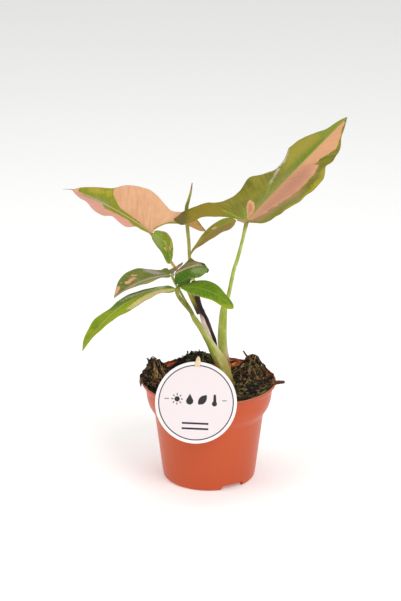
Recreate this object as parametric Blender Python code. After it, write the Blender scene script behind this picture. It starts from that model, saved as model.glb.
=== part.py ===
"""Arrowhead plant in a 12 cm nursery pot, with a round card on a wooden pick.

Design values are in millimetres and degrees. Each mesh is scaled to metres when its object is
made. The origin is the middle of the pot's underside, +Z is up and -Y is the front.
"""
import math
import random

import bmesh
import bpy
from mathutils import Matrix, Vector
from mathutils.geometry import delaunay_2d_cdt

MM = 0.001
GAP = 0.3

# Pot: the outer side runs from the foot to the lip as radius and height. It widens in a step
# where pots nest, and again at the flared lip.
POT_TOP_R = 60.0
POT_HEIGHT = 90.6
POT_FOOT_R = 40.0
POT_WALL = 1.4
POT_SIDE = [(POT_FOOT_R, 0), (41.3, 1.6), (42.1, 6), (48.8, 60.2), (49.5, 61.0), (50.6, 63.2),
            (53.4, 67.8), (55.4, 73.8), (56.2, 79.3), (56.7, 84.6), (57.7, 87.2),
            (POT_TOP_R, 88.7)]
LIP_ROUND = 0.6
CHANNEL_Z = 5.0
CHANNEL_SLOPE = 1.8
FOOT_WIDTH = 2.3
BOSS_R = 12.0
DRAIN_COUNT = 8
DRAIN_R = 3.0
DRAIN_CIRCLE_R = 26.0
NOTCH_ANGLES = (-59.0, 121.0)
NOTCH_WIDTH = 22.0
NOTCH_HEIGHT = 4.6
POT_SIDES = 60

# Soil: it touches the wall up to a height below the lip, and its top is a level with mounds
# and small lumps.
SOIL_LEVEL = 86.5
SOIL_WALL_TOP = 80.0
SOIL_RINGS = [54.2, 50.5, 46.0, 41.0, 35.5, 29.5, 23.0, 16.0, 8.5]
SOIL_SIDES = 44
SOIL_SEED = 7
LUMP_WAVES = 5
LUMP_HEIGHT = 0.45
LUMP_SIZE = 2.2

# Card and pick
CARD_D = 71.0
CARD_T = 0.8
CARD_LEAN = 18.5
CARD_TURN = -2.5
CARD_CENTRE = (-11.6, -60.2, 92.6)
SLOT_SIZE = (6.0, 5.6)
SLOT_FROM_TOP = 4.5
PICK_WIDTH = 4.5
PICK_T = 1.1
PICK_FOOT = (-16.8, -45.0, 70.0)
PICK_TIP = (-9.2, -51.2, 132.0)

# Leaves
BLADE_T = 0.8

# Each blade: its base point, heading from +X towards +Y, pitch above level, roll about the
# midrib, bend in degrees per 100 mm, length, the fold at base and tip and the curl of each half,
# the wave of its margin (height, length, phase), the mesh cell and both margins from base to
# tip, as distances along and across the midrib.
BLADES = {
    "blade_right": dict(
        base=(31.7, -10.0, 241.2), heading=46.0, pitch=28.3, roll=8.0, bend=-1.3, length=150.7,
        left=(10, 10, -40), right=(10, 10, 0), wave=(1.2, 36.0, 0.1), cell=7.5,
        left_margin=[(-1.5, 2), (-2.1, 8.7), (-4, 16.5), (-7.4, 28.1), (-11.1, 39.6), (-15.5, 43.1),
                     (-24.6, 43), (-30.2, 46.6), (-30.4, 52.4), (-27.8, 60.4), (-22.1, 65.7),
                     (-11.6, 66.9), (-7, 60.9), (-2.2, 52.1), (1.6, 44.3), (3.5, 37.2), (7.3, 31.7),
                     (15.4, 30.6), (24.8, 30.4), (30.3, 28.6), (41.9, 28.5), (49.3, 25.2),
                     (57.6, 20.9), (63.7, 15.9), (76.3, 15.6), (85.6, 19.3), (92.9, 22.5),
                     (101.1, 21), (107.6, 17.4), (116.4, 13.1), (129.1, 6.4), (140.6, 4)],
        right_margin=[(-0.5, -2), (1, -9.6), (2.9, -16.5), (7.9, -20.9), (13.5, -23.7),
                      (18.4, -28.8), (28.3, -32.2), (43.7, -31.5), (52.9, -37.7), (62.8, -38.6),
                      (79.4, -28.7), (85.1, -26), (91.1, -30.5), (103.3, -26.2), (114.4, -20.1),
                      (123.7, -13.9), (135, -8.7), (145, -3.1)]),
    "blade_right_leaflet": dict(
        base=(23.9, -11.0, 242.9), heading=-165.0, pitch=-11.0, roll=0.0, bend=-89.0, length=52.4,
        left=(-10, -5, -20), right=(20, 20, -10), wave=(0.0, 30.0, 0.0), cell=5.5,
        left_margin=[(1, 1), (4.9, 6.8), (10.8, 10.5), (17.7, 9.6), (27.7, 9.1), (37.6, 6),
                     (45.1, 1.8)],
        right_margin=[(1, -1), (4, -5.3), (10.8, -8), (17.9, -7.4), (28.4, -6), (38.5, -3.2),
                      (47.3, -2)]),
    "blade_left": dict(
        base=(-51.7, 33.0, 217.8), heading=150.0, pitch=26.3, roll=0.0, bend=-17.8, length=88.2,
        left=(5, 5, -20), right=(48, 58, -5), wave=(0.8, 34.0, 0.2), cell=6.5,
        left_margin=[(-1, 1), (-0.3, 3.5), (6.4, 6), (12.7, 7.2), (16.1, 15.6), (20.7, 17.7),
                     (27.7, 16.6), (34.2, 16), (37.7, 22.9), (42.9, 23.5), (52, 19.8), (62.8, 14),
                     (74.9, 10.5)],
        right_margin=[(-0.8, -3.9), (-2.7, -9.5), (-6.1, -15.2), (-11.7, -19.1), (-17.4, -22.7),
                      (-23.6, -26.1), (-32.7, -31.1), (-35.4, -33.7), (-33.8, -34.4),
                      (-24.4, -35.1), (-16, -33.4), (-8.5, -30.6), (-1.4, -28.4), (3.9, -29.1),
                      (11.6, -29.5), (19, -29.8), (26.7, -31.2), (35.6, -30.4), (43.1, -25.5),
                      (46.7, -22), (52, -16.8), (57.9, -14), (68.2, -10.7), (81.2, -4.6)]),
    "blade_left_leaflet": dict(
        base=(-50.9, 27.0, 218.6), heading=-40.0, pitch=-1.2, roll=10.0, bend=-299.0, length=36.4,
        left=(0, 0, 0), right=(0, 0, 0), wave=(0.0, 30.0, 0.0), cell=5.0,
        left_margin=[(0.8, 1.2), (-0.8, 4), (-1.2, 6.7), (3.2, 8.8), (7.9, 11), (14.5, 9.9),
                     (24, 6.1), (31.7, 2.2)],
        right_margin=[(0.8, -1.1), (6, -6.6), (14.5, -9.1), (23.7, -7.9), (32.6, -5.2)]),
    "blade_centre": dict(
        base=(-32.6, -12.0, 193.1), heading=-134.0, pitch=12.5, roll=0.0, bend=-43.4, length=71.1,
        left=(-25, 35, 0), right=(22, 28, 0), wave=(0.5, 26.0, 0.1), cell=6.0,
        left_margin=[(1.6, 1.2), (7, 3.5), (16, 3), (24, 4.5), (33, 8.5), (44, 9.5), (54, 7),
                     (63, 3.5)],
        right_margin=[(1.6, -1.2), (-2.5, -6), (-3, -10.5), (2, -10), (7.1, -8.2), (18.2, -10.7),
                      (26.8, -15.5), (36.6, -15.6), (46.7, -13.8), (55, -10.9), (63.3, -5.4)]),
    "blade_centre_lobe": dict(
        base=(-31.8, -10.3, 193.6), heading=40.0, pitch=37.0, roll=0.0, bend=0.0, length=14.5,
        left=(20, 20, 0), right=(-10, -10, 0), wave=(0.0, 30.0, 0.0), cell=4.0,
        left_margin=[(1.4, 0.9), (5, 2.8), (9, 2.8), (12.5, 1.4)],
        right_margin=[(1.4, -0.9), (5, -3), (9, -3), (12.5, -1.4)]),
    "blade_centre_leaflet": dict(
        base=(-31.3, -12.0, 193.1), heading=-5.0, pitch=36.4, roll=0.0, bend=-108.6, length=29.4,
        left=(50, 50, 0), right=(-35, -35, 0), wave=(0.0, 30.0, 0.0), cell=5.0,
        left_margin=[(1.6, 0.8), (7.7, 2.9), (12.8, 4.8), (16.8, 7.3), (19, 8.1), (21.1, 5.3),
                     (24.4, 3.3), (27.2, 2.3)],
        right_margin=[(1.6, -0.8), (-1, -6), (-1.3, -10.2), (2.8, -12.4), (8.3, -11.5),
                      (13.8, -11.4), (19.3, -12.8), (24.9, -12.8), (29.9, -9.7), (32.6, -6.5),
                      (31.8, -2.5)]),
    "blade_front": dict(
        base=(-28.1, -22.0, 183.6), heading=-137.0, pitch=17.2, roll=0.0, bend=-55.4, length=118.5,
        left=(-22, 30, 0), right=(18, 25, 0), wave=(0.5, 34.0, 0.0), cell=6.5,
        left_margin=[(1.6, 1.3), (4.5, 3.5), (15.6, 7.1), (24.4, 5.5), (41.4, 10.3), (58, 13.4),
                     (70.1, 15.1), (82, 10.8), (94.5, 7.8), (105, 4)],
        right_margin=[(1.6, -1.3), (3.5, -3.8), (8.5, -5), (20.4, -4.3), (36.2, -5.1),
                      (51.2, -6.7), (62.5, -6.5), (74.7, -5.7), (88.4, -8.3), (97.9, -7),
                      (109.2, -4.5)]),
    "blade_front_leaflet": dict(
        base=(-25.5, -21.0, 184.6), heading=-15.0, pitch=12.6, roll=0.0, bend=-112.4, length=52.7,
        left=(20, 20, 0), right=(-20, -20, 0), wave=(0.0, 30.0, 0.0), cell=5.5,
        left_margin=[(0.8, 1), (5.5, 4.4), (10, 8.2), (16.2, 10.9), (22.8, 12.3), (28.3, 11.8),
                     (35, 8.9), (41.3, 6), (48.2, 3.8), (51.3, 2)],
        right_margin=[(0.8, -1), (7, -6.3), (14.8, -9.7), (22.9, -10.5), (32.7, -9.1),
                      (41.3, -8.5), (47.7, -6.8), (51.6, -3.2)]),
    "blade_front_lobe": dict(
        base=(-27.4, -20.2, 184.0), heading=55.0, pitch=12.0, roll=0.0, bend=0.0, length=20.0,
        left=(10, 10, 0), right=(-5, -5, 0), wave=(0.0, 30.0, 0.0), cell=5.0,
        left_margin=[(1.4, 0.9), (6, 3.6), (12, 3.8), (17, 2)],
        right_margin=[(1.4, -0.9), (6, -3.8), (12, -4), (17, -2.2)]),
}

# Stems: points of the centre line with the half width across the view and the half depth.
PETIOLE_RIGHT = [
    ((17.5, 5, 71), 4.1, 4.0), ((16.5, 5, 88), 4.1, 4.0), ((14.7, 4.5, 105.6), 4.0, 3.9),
    ((12.6, 3.6, 117.4), 4.0, 3.8), ((11.6, 2, 131.3), 4.0, 3.5), ((12.6, -1, 155), 3.3, 2.8),
    ((14.3, -2.5, 164), 2.0, 1.9), ((16.9, -4, 171.9), 1.8, 1.8), ((21.4, -7, 196), 1.6, 1.6),
    ((24.3, -8, 205.6), 1.6, 1.6), ((28.8, -9.5, 224.3), 1.4, 1.4), ((30.6, -10, 233.5), 1.6, 1.6),
    ((32.1, -10, 240), 1.9, 1.9), ((32.6, -10, 244), 1.9, 1.9)]
RIGHT_STALK = [((31, -10, 234.5), 0.9, 0.9), ((28.5, -10.8, 238), 0.9, 0.9),
               ((24.4, -11, 242.7), 0.9, 0.9)]
DARK_STEM = [
    ((8.2, 6.2, 72), 1.9, 1.9), ((7.6, 6, 90), 1.9, 1.9), ((6.6, 5.6, 110), 2.0, 2.0),
    ((4.9, 5, 124.5), 2.0, 2.0), ((1.6, 5.5, 133.8), 2.2, 2.0), ((-2.4, 7, 145.6), 1.7, 1.7),
    ((-6.4, 8, 151.6), 2.6, 2.2), ((-8.4, 9.6, 159), 1.7, 1.7), ((-11, 11.5, 167), 2.2, 2.0),
    ((-14, 15, 179), 1.9, 1.9)]
LEADER = [
    ((-14.1, 15.1, 179.35), 1.8, 1.8), ((-17.2, 20, 194.6), 1.5, 1.5), ((-18.1, 25, 211), 1.5, 1.5),
    ((-19.5, 28, 225.6), 1.6, 1.6), ((-20.1, 28.5, 241.1), 1.6, 1.6), ((-18.1, 29, 249), 1.35, 1.35),
    ((-16.2, 29, 256.7), 0.95, 0.95), ((-15, 29, 264.8), 0.4, 0.4)]
PETIOLE_LEFT = [
    ((-9.6, 9, 149.6), 3.0, 2.4), ((-12.9, 11, 158.7), 2.5, 2.2), ((-16.3, 13, 166.4), 2.4, 2.1),
    ((-20.8, 16, 174.4), 1.7, 1.7), ((-29.3, 20, 187.6), 1.4, 1.4), ((-35.7, 23.5, 196.3), 1.3, 1.3),
    ((-43.7, 28, 207.9), 1.3, 1.3), ((-49.5, 31.8, 214.8), 1.6, 1.6), ((-53.5, 34.5, 220), 1.6, 1.6)]
LEFT_STALK = [((-48.8, 31.3, 214), 1.0, 1.0), ((-51, 29.6, 217), 0.9, 0.9),
              ((-51.3, 27.4, 218.6), 0.8, 0.8)]
FRONT_SHOOT = [
    ((20.5, -5, 71), 6.0, 4.4), ((16.9, -5, 87.3), 6.0, 4.4), ((13.2, -5, 99.7), 6.1, 4.3),
    ((10.1, -5, 110.2), 5.6, 3.9), ((4.7, -5, 120.1), 4.5, 3.4), ((0.3, -5, 128.2), 3.4, 2.8),
    ((-7.3, -6, 141.8), 2.6, 2.2), ((-12.9, -7, 150.7), 2.5, 2.0), ((-16.3, -8, 157.6), 2.2, 1.6)]
CENTRE_PETIOLE = [
    ((-13.6, -7, 152.6), 1.2, 1.2), ((-16.2, -7.8, 159.3), 1.1, 1.1), ((-21.3, -8, 168.2), 1.0, 1.0),
    ((-26.1, -8, 177.5), 1.0, 1.0), ((-30, -9, 184.7), 1.0, 1.0), ((-32.3, -11.2, 191), 1.1, 1.1),
    ((-32.4, -11.7, 193.6), 1.2, 1.2)]
CENTRE_STALK = [((-32.2, -11.6, 192.6), 0.9, 0.9), ((-30.6, -12.1, 193.8), 0.8, 0.8)]
FRONT_PETIOLE = [
    ((-14.5, -7.6, 154.6), 1.3, 1.3), ((-17, -8.8, 159.2), 1.3, 1.3), ((-21.3, -11.5, 165.5), 1.3, 1.3),
    ((-25.6, -15.5, 172.6), 1.3, 1.3), ((-28, -19.6, 179), 1.3, 1.3), ((-27.9, -21.4, 184.2), 1.3, 1.3)]
FRONT_STALK = [((-27.9, -21.2, 183), 1.1, 1.1), ((-25.4, -21, 184.5), 0.9, 0.9)]

# Soil mounds: place, height above the level and spread.
MOUNDS = [((-10, 43), 12.5, 11.0), ((-51, 9), 18.0, 8.5), ((-43, 24), 4.0, 9.0),
          ((40, 31), 15.5, 8.0), ((-40, -22), 3.0, 9.0), ((28, 42), -3.5, 6.0),
          ((26, 50), 4.5, 4.5), ((-36, 38), -1.0, 6.0), ((48, -10), 2.0, 9.0)]
# Twigs sunk in the soil: foot, tip and half thickness.
TWIGS = [
    ((47, -8, 86), (59, -9.5, 93.2), 1.3), ((58, -9.4, 92.9), (67.6, -8, 94.0), 1.0),
    ((42, 24, 93), (31, 30.5, 106.5), 0.9), ((52, 11, 84), (38, 28, 98.5), 0.8),
    ((-48, 12, 92), (-55.5, 12, 106.5), 1.0), ((-47, 3, 92), (-59.5, 1.5, 98.5), 0.9),
    ((-46, -4, 90), (-60.5, -7.5, 93.0), 0.9), ((-50, 6, 94), (-44, -12, 92.5), 0.9),
    ((-19, 43, 92), (-19.5, 44, 101.5), 0.8), ((-9.5, 45, 94), (-9.5, 46, 99.8), 0.9),
    ((-6, 44, 94), (-5.5, 45, 99.0), 0.8), ((50, 8, 86), (57.5, 5, 94.0), 1.5)]
CHIP_PLACE = (24.0, 43.5, 87.6)
CHIP_SIZE = (11.0, 5.0, 2.4)
CHIP_TURN = (24.0, -8.0, 14.0)


def material(name, colour, roughness, metallic=0.0):
    """A Principled material with one colour."""
    mat = bpy.data.materials.new(name)
    mat.use_nodes = True
    shader = mat.node_tree.nodes["Principled BSDF"]
    shader.inputs["Base Color"].default_value = (*colour, 1.0)
    shader.inputs["Roughness"].default_value = roughness
    shader.inputs["Metallic"].default_value = metallic
    return mat


def add_object(name, bm, mat, smooth_angle=40.0):
    """Turns a mesh in millimetres into a shaded object in metres."""
    bmesh.ops.recalc_face_normals(bm, faces=bm.faces)
    bmesh.ops.scale(bm, vec=(MM, MM, MM), verts=bm.verts)
    mesh = bpy.data.meshes.new(name)
    bm.to_mesh(mesh)
    bm.free()
    mesh.materials.append(mat)
    mesh.shade_smooth()
    mesh.set_sharp_from_angle(angle=math.radians(smooth_angle))
    obj = bpy.data.objects.new(name, mesh)
    bpy.context.scene.collection.objects.link(obj)
    return obj


def boolean(obj, operation, tools):
    """Cuts or joins the tool objects with an object and removes the tools."""
    for tool in tools:
        mod = obj.modifiers.new(operation.lower(), "BOOLEAN")
        mod.operation = operation
        mod.solver = "EXACT"
        mod.object = tool
    graph = bpy.context.evaluated_depsgraph_get()
    mesh = bpy.data.meshes.new_from_object(obj.evaluated_get(graph))
    obj.modifiers.clear()
    obj.data = mesh
    for tool in tools:
        bpy.data.objects.remove(tool)
    return obj


def smooth_curve(points, step):
    """Points of a Catmull-Rom curve through the given ones, about a step apart.

    The first two or three numbers of a point are its place, and any more ride along.
    """
    pts = [Vector(p) for p in points]
    pts = [pts[0] * 2 - pts[1]] + pts + [pts[-1] * 2 - pts[-2]]
    out = [pts[1]]
    for p0, p1, p2, p3 in zip(pts, pts[1:], pts[2:], pts[3:]):
        count = max(1, round(Vector((p2 - p1)[:3]).length / step))
        for k in range(1, count + 1):
            t = k / count
            out.append(0.5 * (2 * p1 + (p2 - p0) * t + (2 * p0 - 5 * p1 + 4 * p2 - p3) * t ** 2
                              + (3 * p1 - p0 - 3 * p2 + p3) * t ** 3))
    return out


def spun(profile, sides):
    """A closed solid turned about Z from a profile that runs from the axis back to it."""
    bm = bmesh.new()
    verts = [bm.verts.new((r, 0.0, z)) for r, z in profile]
    edges = [bm.edges.new(pair) for pair in zip(verts, verts[1:])]
    bmesh.ops.spin(bm, geom=verts + edges, cent=(0, 0, 0), axis=(0, 0, 1),
                   angle=math.tau, steps=sides, use_merge=True)
    bmesh.ops.remove_doubles(bm, verts=bm.verts, dist=0.001)
    return bm


def box(size, centre, turn=0.0):
    """A box of a size, turned about Z at its place."""
    bm = bmesh.new()
    place = Matrix.Rotation(math.radians(turn), 4, "Z") @ Matrix.Translation(centre)
    bmesh.ops.create_cube(bm, size=1.0, matrix=place @ Matrix.Diagonal((*size, 1.0)))
    return bm


def tube(stations, sides=10, grow=0.0, step=6.0, ribs=0, rib_depth=0.0):
    """A closed oval tube along a smooth line, with optional ribs along it."""
    line = smooth_curve([(*place, across, deep) for place, across, deep in stations], step)
    places = [Vector(p[:3]) for p in line]
    bm = bmesh.new()
    rings = []
    for i, (place, station) in enumerate(zip(places, line)):
        along = (places[min(i + 1, len(places) - 1)] - places[max(i - 1, 0)]).normalized()
        if i in (0, len(places) - 1):
            place = place + along * (grow if i else -grow)
        side = along.cross(Vector((0, 1, 0))).normalized()
        back = side.cross(along)
        ring = []
        for k in range(sides):
            angle = math.tau * k / sides
            swell = 1.0 + rib_depth * math.cos(ribs * angle)
            offset = (side * math.cos(angle) * (station[3] * swell + grow)
                      + back * math.sin(angle) * (station[4] * swell + grow))
            ring.append(bm.verts.new(place + offset))
        rings.append(ring)
    for lower, upper in zip(rings, rings[1:]):
        for k in range(sides):
            n = (k + 1) % sides
            bm.faces.new((lower[k], lower[n], upper[n], upper[k]))
    bm.faces.new(rings[0])
    bm.faces.new(rings[-1])
    return bm


class Blade:
    """A leaf blade bent along its midrib, with each half folded and curled."""

    def __init__(self, data):
        self.data = data
        heading, pitch, roll = (math.radians(data[key]) for key in ("heading", "pitch", "roll"))
        self.base = Vector(data["base"])
        self.ahead = Vector((math.cos(pitch) * math.cos(heading),
                             math.cos(pitch) * math.sin(heading), math.sin(pitch)))
        level = Vector((-math.sin(heading), math.cos(heading), 0.0))
        up = self.ahead.cross(level)
        self.left = level * math.cos(roll) + up * math.sin(roll)
        self.up = up * math.cos(roll) - level * math.sin(roll)
        self.turn = math.radians(data["bend"]) / 100.0 or 1e-9

    def point(self, u, s):
        """The place of a point u along the midrib and s across it, left of it positive."""
        turned = self.turn * u
        spine = (self.base + self.ahead * math.sin(turned) / self.turn
                 + self.up * (1.0 - math.cos(turned)) / self.turn)
        normal = self.up * math.cos(turned) - self.ahead * math.sin(turned)
        fold_base, fold_tip, curl = self.data["left" if s >= 0 else "right"]
        along = min(max(u / self.data["length"], 0.0), 1.0)
        fold = math.radians(fold_base + (fold_tip - fold_base) * along)
        rate = math.radians(curl) / 100.0 or 1e-9
        far = abs(s)
        across = (math.sin(fold + rate * far) - math.sin(fold)) / rate
        lift = (math.cos(fold) - math.cos(fold + rate * far)) / rate
        height, period, phase = self.data["wave"]
        phase += u / period + (0.5 if s < 0 else 0.0)
        lift += height * math.sin(math.tau * phase) * min(far / 20.0, 1.5) ** 2
        return spine + self.left * math.copysign(across, s) + normal * lift

    def normal(self, u, s):
        """The unit normal of the upper face; on the midrib, the mean of its halves."""
        step = 0.05
        sides = (s,) if abs(s) > step else (2 * step, -2 * step)
        total = Vector((0, 0, 0))
        for side in sides:
            along = self.point(u + step, side) - self.point(u - step, side)
            across = self.point(u, side + step) - self.point(u, side - step)
            total += along.cross(across).normalized()
        return total.normalized()


def inside(point, outline):
    """Whether a flat point lies inside a closed outline."""
    hit = False
    for a, b in zip(outline, outline[1:] + outline[:1]):
        if (a.y > point.y) != (b.y > point.y):
            if point.x < a.x + (point.y - a.y) * (b.x - a.x) / (b.y - a.y):
                hit = not hit
    return hit


def clear_of(point, outline, distance):
    """Whether a flat point keeps a distance to every side of an outline."""
    for a, b in zip(outline, outline[1:] + outline[:1]):
        side = b - a
        t = min(max((point - a).dot(side) / side.length_squared, 0.0), 1.0)
        if (point - a - side * t).length < distance:
            return False
    return True


def flat_leaf(data):
    """Triangles of a blade laid flat, with a row of edges along the midrib."""
    cell = data["cell"]
    start = (min(data["left_margin"][0][0], data["right_margin"][0][0]), 0.0)
    tip = (data["length"], 0.0)
    left = smooth_curve([*data["left_margin"], tip], cell)
    right = smooth_curve([*data["right_margin"], tip], cell)
    outline = [Vector(start)] + right + left[-2::-1]
    count = max(2, round((tip[0] - start[0]) / cell))
    rib = [Vector((start[0] + (tip[0] - start[0]) * k / count, 0.0)) for k in range(1, count)]
    rib = [p for p in rib if inside(p, outline) and clear_of(p, outline, 0.12 * cell)]
    fill = []
    reach = max(abs(p.y) for p in outline)
    rows = int(reach / (0.87 * cell)) + 1
    first = int(min(p.x for p in outline) / cell) - 1
    for row in range(-rows, rows + 1):
        for column in range(first, int(tip[0] / cell) + 2):
            p = Vector(((column + 0.5 * (row % 2)) * cell, row * 0.87 * cell))
            if row and inside(p, outline) and clear_of(p, outline, 0.5 * cell):
                fill.append(p)
    points = outline + rib + fill
    n = len(outline)
    spine = [0] + list(range(n, n + len(rib))) + [len(right)]
    flat, _, faces, *_ = delaunay_2d_cdt(points, list(zip(spine, spine[1:])), [list(range(n))],
                                         1, 1e-4)
    return flat, faces


def sheet(data, thickness=BLADE_T):
    """A blade as a closed thin solid, split into triangles alike on both faces."""
    blade = Blade(data)
    flat, faces = flat_leaf(data)
    bm = bmesh.new()
    layers = []
    for side in (0.5, -0.5):
        layers.append([bm.verts.new(blade.point(*p) + blade.normal(*p) * thickness * side)
                       for p in flat])
    upper, lower = layers
    borders = {}
    for a, b, c in faces:
        bm.faces.new((upper[a], upper[b], upper[c]))
        bm.faces.new((lower[c], lower[b], lower[a]))
        for pair in ((a, b), (b, c), (c, a)):
            borders[pair] = True
    for a, b in borders:
        if (b, a) not in borders:
            bm.faces.new((upper[b], upper[a], lower[a]))
            bm.faces.new((upper[b], lower[a], lower[b]))
    return bm


def seat_under(bm, data):
    """Trims a petiole's end to both halves of the underside of the blade that it carries."""
    blade = Blade(data)
    for s in (0.5, -0.5):
        normal = blade.normal(0.5, s)
        place = blade.point(0.5, 0.0) - normal * (BLADE_T / 2 + GAP)
        cut = bmesh.ops.bisect_plane(bm, geom=bm.verts[:] + bm.edges[:] + bm.faces[:],
                                     plane_co=place, plane_no=normal, clear_outer=True)
        edges = [e for e in cut["geom_cut"] if isinstance(e, bmesh.types.BMEdge)]
        bmesh.ops.contextual_create(bm, geom=edges)
    return bm


def wall_radius(z):
    """The radius of the pot's inner wall at a height."""
    for (r0, z0), (r1, z1) in zip(POT_SIDE, POT_SIDE[1:]):
        if z0 <= z <= z1:
            return r0 + (r1 - r0) * (z - z0) / (z1 - z0) - POT_WALL
    return POT_TOP_R - POT_WALL


def inner_side(low, high, gap=0.0):
    """Points up the pot's inner wall between two heights, a gap inside it."""
    heights = [low + 1.0] + [z for r, z in POT_SIDE if low + 2.0 < z < high]
    return [(wall_radius(z) - gap, z) for z in heights]


def make_pot(mat):
    """The pot: a flared lip, a band that steps in, a tapered body, a raised channel with
    drain holes and two notches in the foot ring."""
    foot_inside = POT_FOOT_R - FOOT_WIDTH
    floor = CHANNEL_Z + POT_WALL
    outer = [(0, 0), (BOSS_R, 0), (BOSS_R + CHANNEL_SLOPE, CHANNEL_Z),
             (foot_inside - CHANNEL_SLOPE, CHANNEL_Z), (foot_inside, 0), *POT_SIDE,
             (POT_TOP_R, POT_HEIGHT - LIP_ROUND), (POT_TOP_R - LIP_ROUND, POT_HEIGHT)]
    inner = [(POT_TOP_R - POT_WALL, POT_HEIGHT), *inner_side(floor, POT_HEIGHT)[::-1],
             (wall_radius(floor) - CHANNEL_SLOPE / 2, floor), (BOSS_R + 2 * CHANNEL_SLOPE, floor),
             (BOSS_R + CHANNEL_SLOPE / 2, POT_WALL), (0, POT_WALL)]
    pot = add_object("pot", spun(outer + inner, POT_SIDES), mat, 30.0)
    tools = []
    for angle in NOTCH_ANGLES:
        notch = box((12.0, NOTCH_WIDTH, NOTCH_HEIGHT + 1.0), (41.0, 0, NOTCH_HEIGHT / 2 - 0.5), angle)
        tools.append(add_object("notch", notch, mat))
    for k in range(DRAIN_COUNT):
        angle = math.tau * (k + 0.5) / DRAIN_COUNT
        place = Vector((math.cos(angle), math.sin(angle), 0)) * DRAIN_CIRCLE_R
        place.z = CHANNEL_Z
        bm = bmesh.new()
        bmesh.ops.create_cone(bm, cap_ends=True, segments=14, radius1=DRAIN_R, radius2=DRAIN_R,
                              depth=6.0, matrix=Matrix.Translation(place))
        tools.append(add_object("drain", bm, mat))
    return boolean(pot, "DIFFERENCE", tools)


def soil_height(x, y, phases):
    """The height of the soil's top: a level, its mounds and small lumps."""
    z = SOIL_LEVEL
    for (mx, my), height, spread in MOUNDS:
        z += height * math.exp(-((x - mx) ** 2 + (y - my) ** 2) / (2 * spread ** 2))
    for k, phase in enumerate(phases):
        turn = math.radians(137.5) * k
        wave = (x * math.cos(turn) + y * math.sin(turn)) / (LUMP_SIZE + 0.5 * k)
        z += LUMP_HEIGHT * math.sin(wave + phase)
    return z


def make_soil(mat, holes):
    """The soil: it fills the pot to an uneven top, with twigs sunk in and a plain hole for
    each stem, the pick and the chip."""
    rng = random.Random(SOIL_SEED)
    phases = [rng.uniform(0, math.tau) for _ in range(LUMP_WAVES)]
    floor = CHANNEL_Z + POT_WALL + GAP
    corner = wall_radius(floor) - 1.5
    angles = [math.tau * k / SOIL_SIDES for k in range(SOIL_SIDES)]
    bm = bmesh.new()
    rings = []
    for r, z in [(corner, floor), *inner_side(floor, SOIL_WALL_TOP, GAP)]:
        rings.append([bm.verts.new((r * math.cos(a), r * math.sin(a), z)) for a in angles])
    for r in SOIL_RINGS:
        flat = [(r * math.cos(a), r * math.sin(a)) for a in angles]
        rings.append([bm.verts.new((x, y, soil_height(x, y, phases))) for x, y in flat])
    for lower, upper in zip(rings, rings[1:]):
        for k in range(SOIL_SIDES):
            n = (k + 1) % SOIL_SIDES
            bm.faces.new((lower[k], lower[n], upper[n], upper[k]))
    bm.faces.new(rings[0])
    top = bm.verts.new((0, 0, soil_height(0, 0, phases)))
    for k in range(SOIL_SIDES):
        bm.faces.new((rings[-1][k], rings[-1][(k + 1) % SOIL_SIDES], top))
    soil = add_object("soil", bm, mat, 60.0)
    twigs = [add_object("twig", tube([(foot, half * 1.2, half), (tip, half * 0.5, half * 0.5)],
                                     5, step=40.0), mat) for foot, tip, half in TWIGS]
    boolean(soil, "UNION", twigs)
    return boolean(soil, "DIFFERENCE", holes)


def make_card(mat):
    """The round card: it leans back on the rim and is slit for the pick near its top."""
    place = (Matrix.Translation(CARD_CENTRE) @ Matrix.Rotation(math.radians(-CARD_LEAN), 4, "X")
             @ Matrix.Rotation(math.radians(90), 4, "X")
             @ Matrix.Rotation(math.radians(CARD_TURN), 4, "Z"))
    bm = bmesh.new()
    bmesh.ops.create_cone(bm, cap_ends=True, segments=56, radius1=CARD_D / 2, radius2=CARD_D / 2,
                          depth=CARD_T, matrix=place)
    card = add_object("label_card", bm, mat)
    bm = bmesh.new()
    slot = Matrix.Translation((0, CARD_D / 2 - SLOT_FROM_TOP, 0))
    bmesh.ops.create_cube(bm, size=1.0, matrix=place @ slot @ Matrix.Diagonal((*SLOT_SIZE, 6, 1)))
    return boolean(card, "DIFFERENCE", [add_object("slot", bm, mat)])


def pick_mesh(grow=0.0):
    """The flat wooden pick with a rounded point at its top."""
    foot, tip = Vector(PICK_FOOT), Vector(PICK_TIP)
    rise = (tip - foot).normalized()
    side = rise.cross(Vector((0, 1, 0))).normalized()
    face = side.cross(rise)
    half = PICK_WIDTH / 2 + grow
    length = (tip - foot).length
    outline = [(-half, -grow), (half, -grow), (half, length - 7), (half * 0.92, length - 4.5),
               (half * 0.68, length - 1.8), (half * 0.3, length - 0.3), (-half * 0.15, length),
               (-half * 0.62, length - 1.8), (-half * 0.94, length - 4.8), (-half, length - 8)]
    bm = bmesh.new()
    back = -(PICK_T / 2 + grow)
    base = bm.faces.new([bm.verts.new(foot + side * x + rise * y + face * back) for x, y in outline])
    grown = bmesh.ops.extrude_face_region(bm, geom=[base])
    moved = [v for v in grown["geom"] if isinstance(v, bmesh.types.BMVert)]
    bmesh.ops.translate(bm, verts=moved, vec=face * (PICK_T + 2 * grow))
    return bm


def chip_mesh(grow=0.0):
    """A flat chip of bark lying in the soil."""
    bm = bmesh.new()
    tilt_x, tilt_y, turn_z = (math.radians(angle) for angle in CHIP_TURN)
    place = (Matrix.Translation(CHIP_PLACE) @ Matrix.Rotation(turn_z, 4, "Z")
             @ Matrix.Rotation(tilt_x, 4, "X") @ Matrix.Rotation(tilt_y, 4, "Y"))
    size = [d + 2 * grow for d in CHIP_SIZE]
    bmesh.ops.create_cube(bm, size=1.0, matrix=place @ Matrix.Diagonal((*size, 1)))
    return bm


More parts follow.
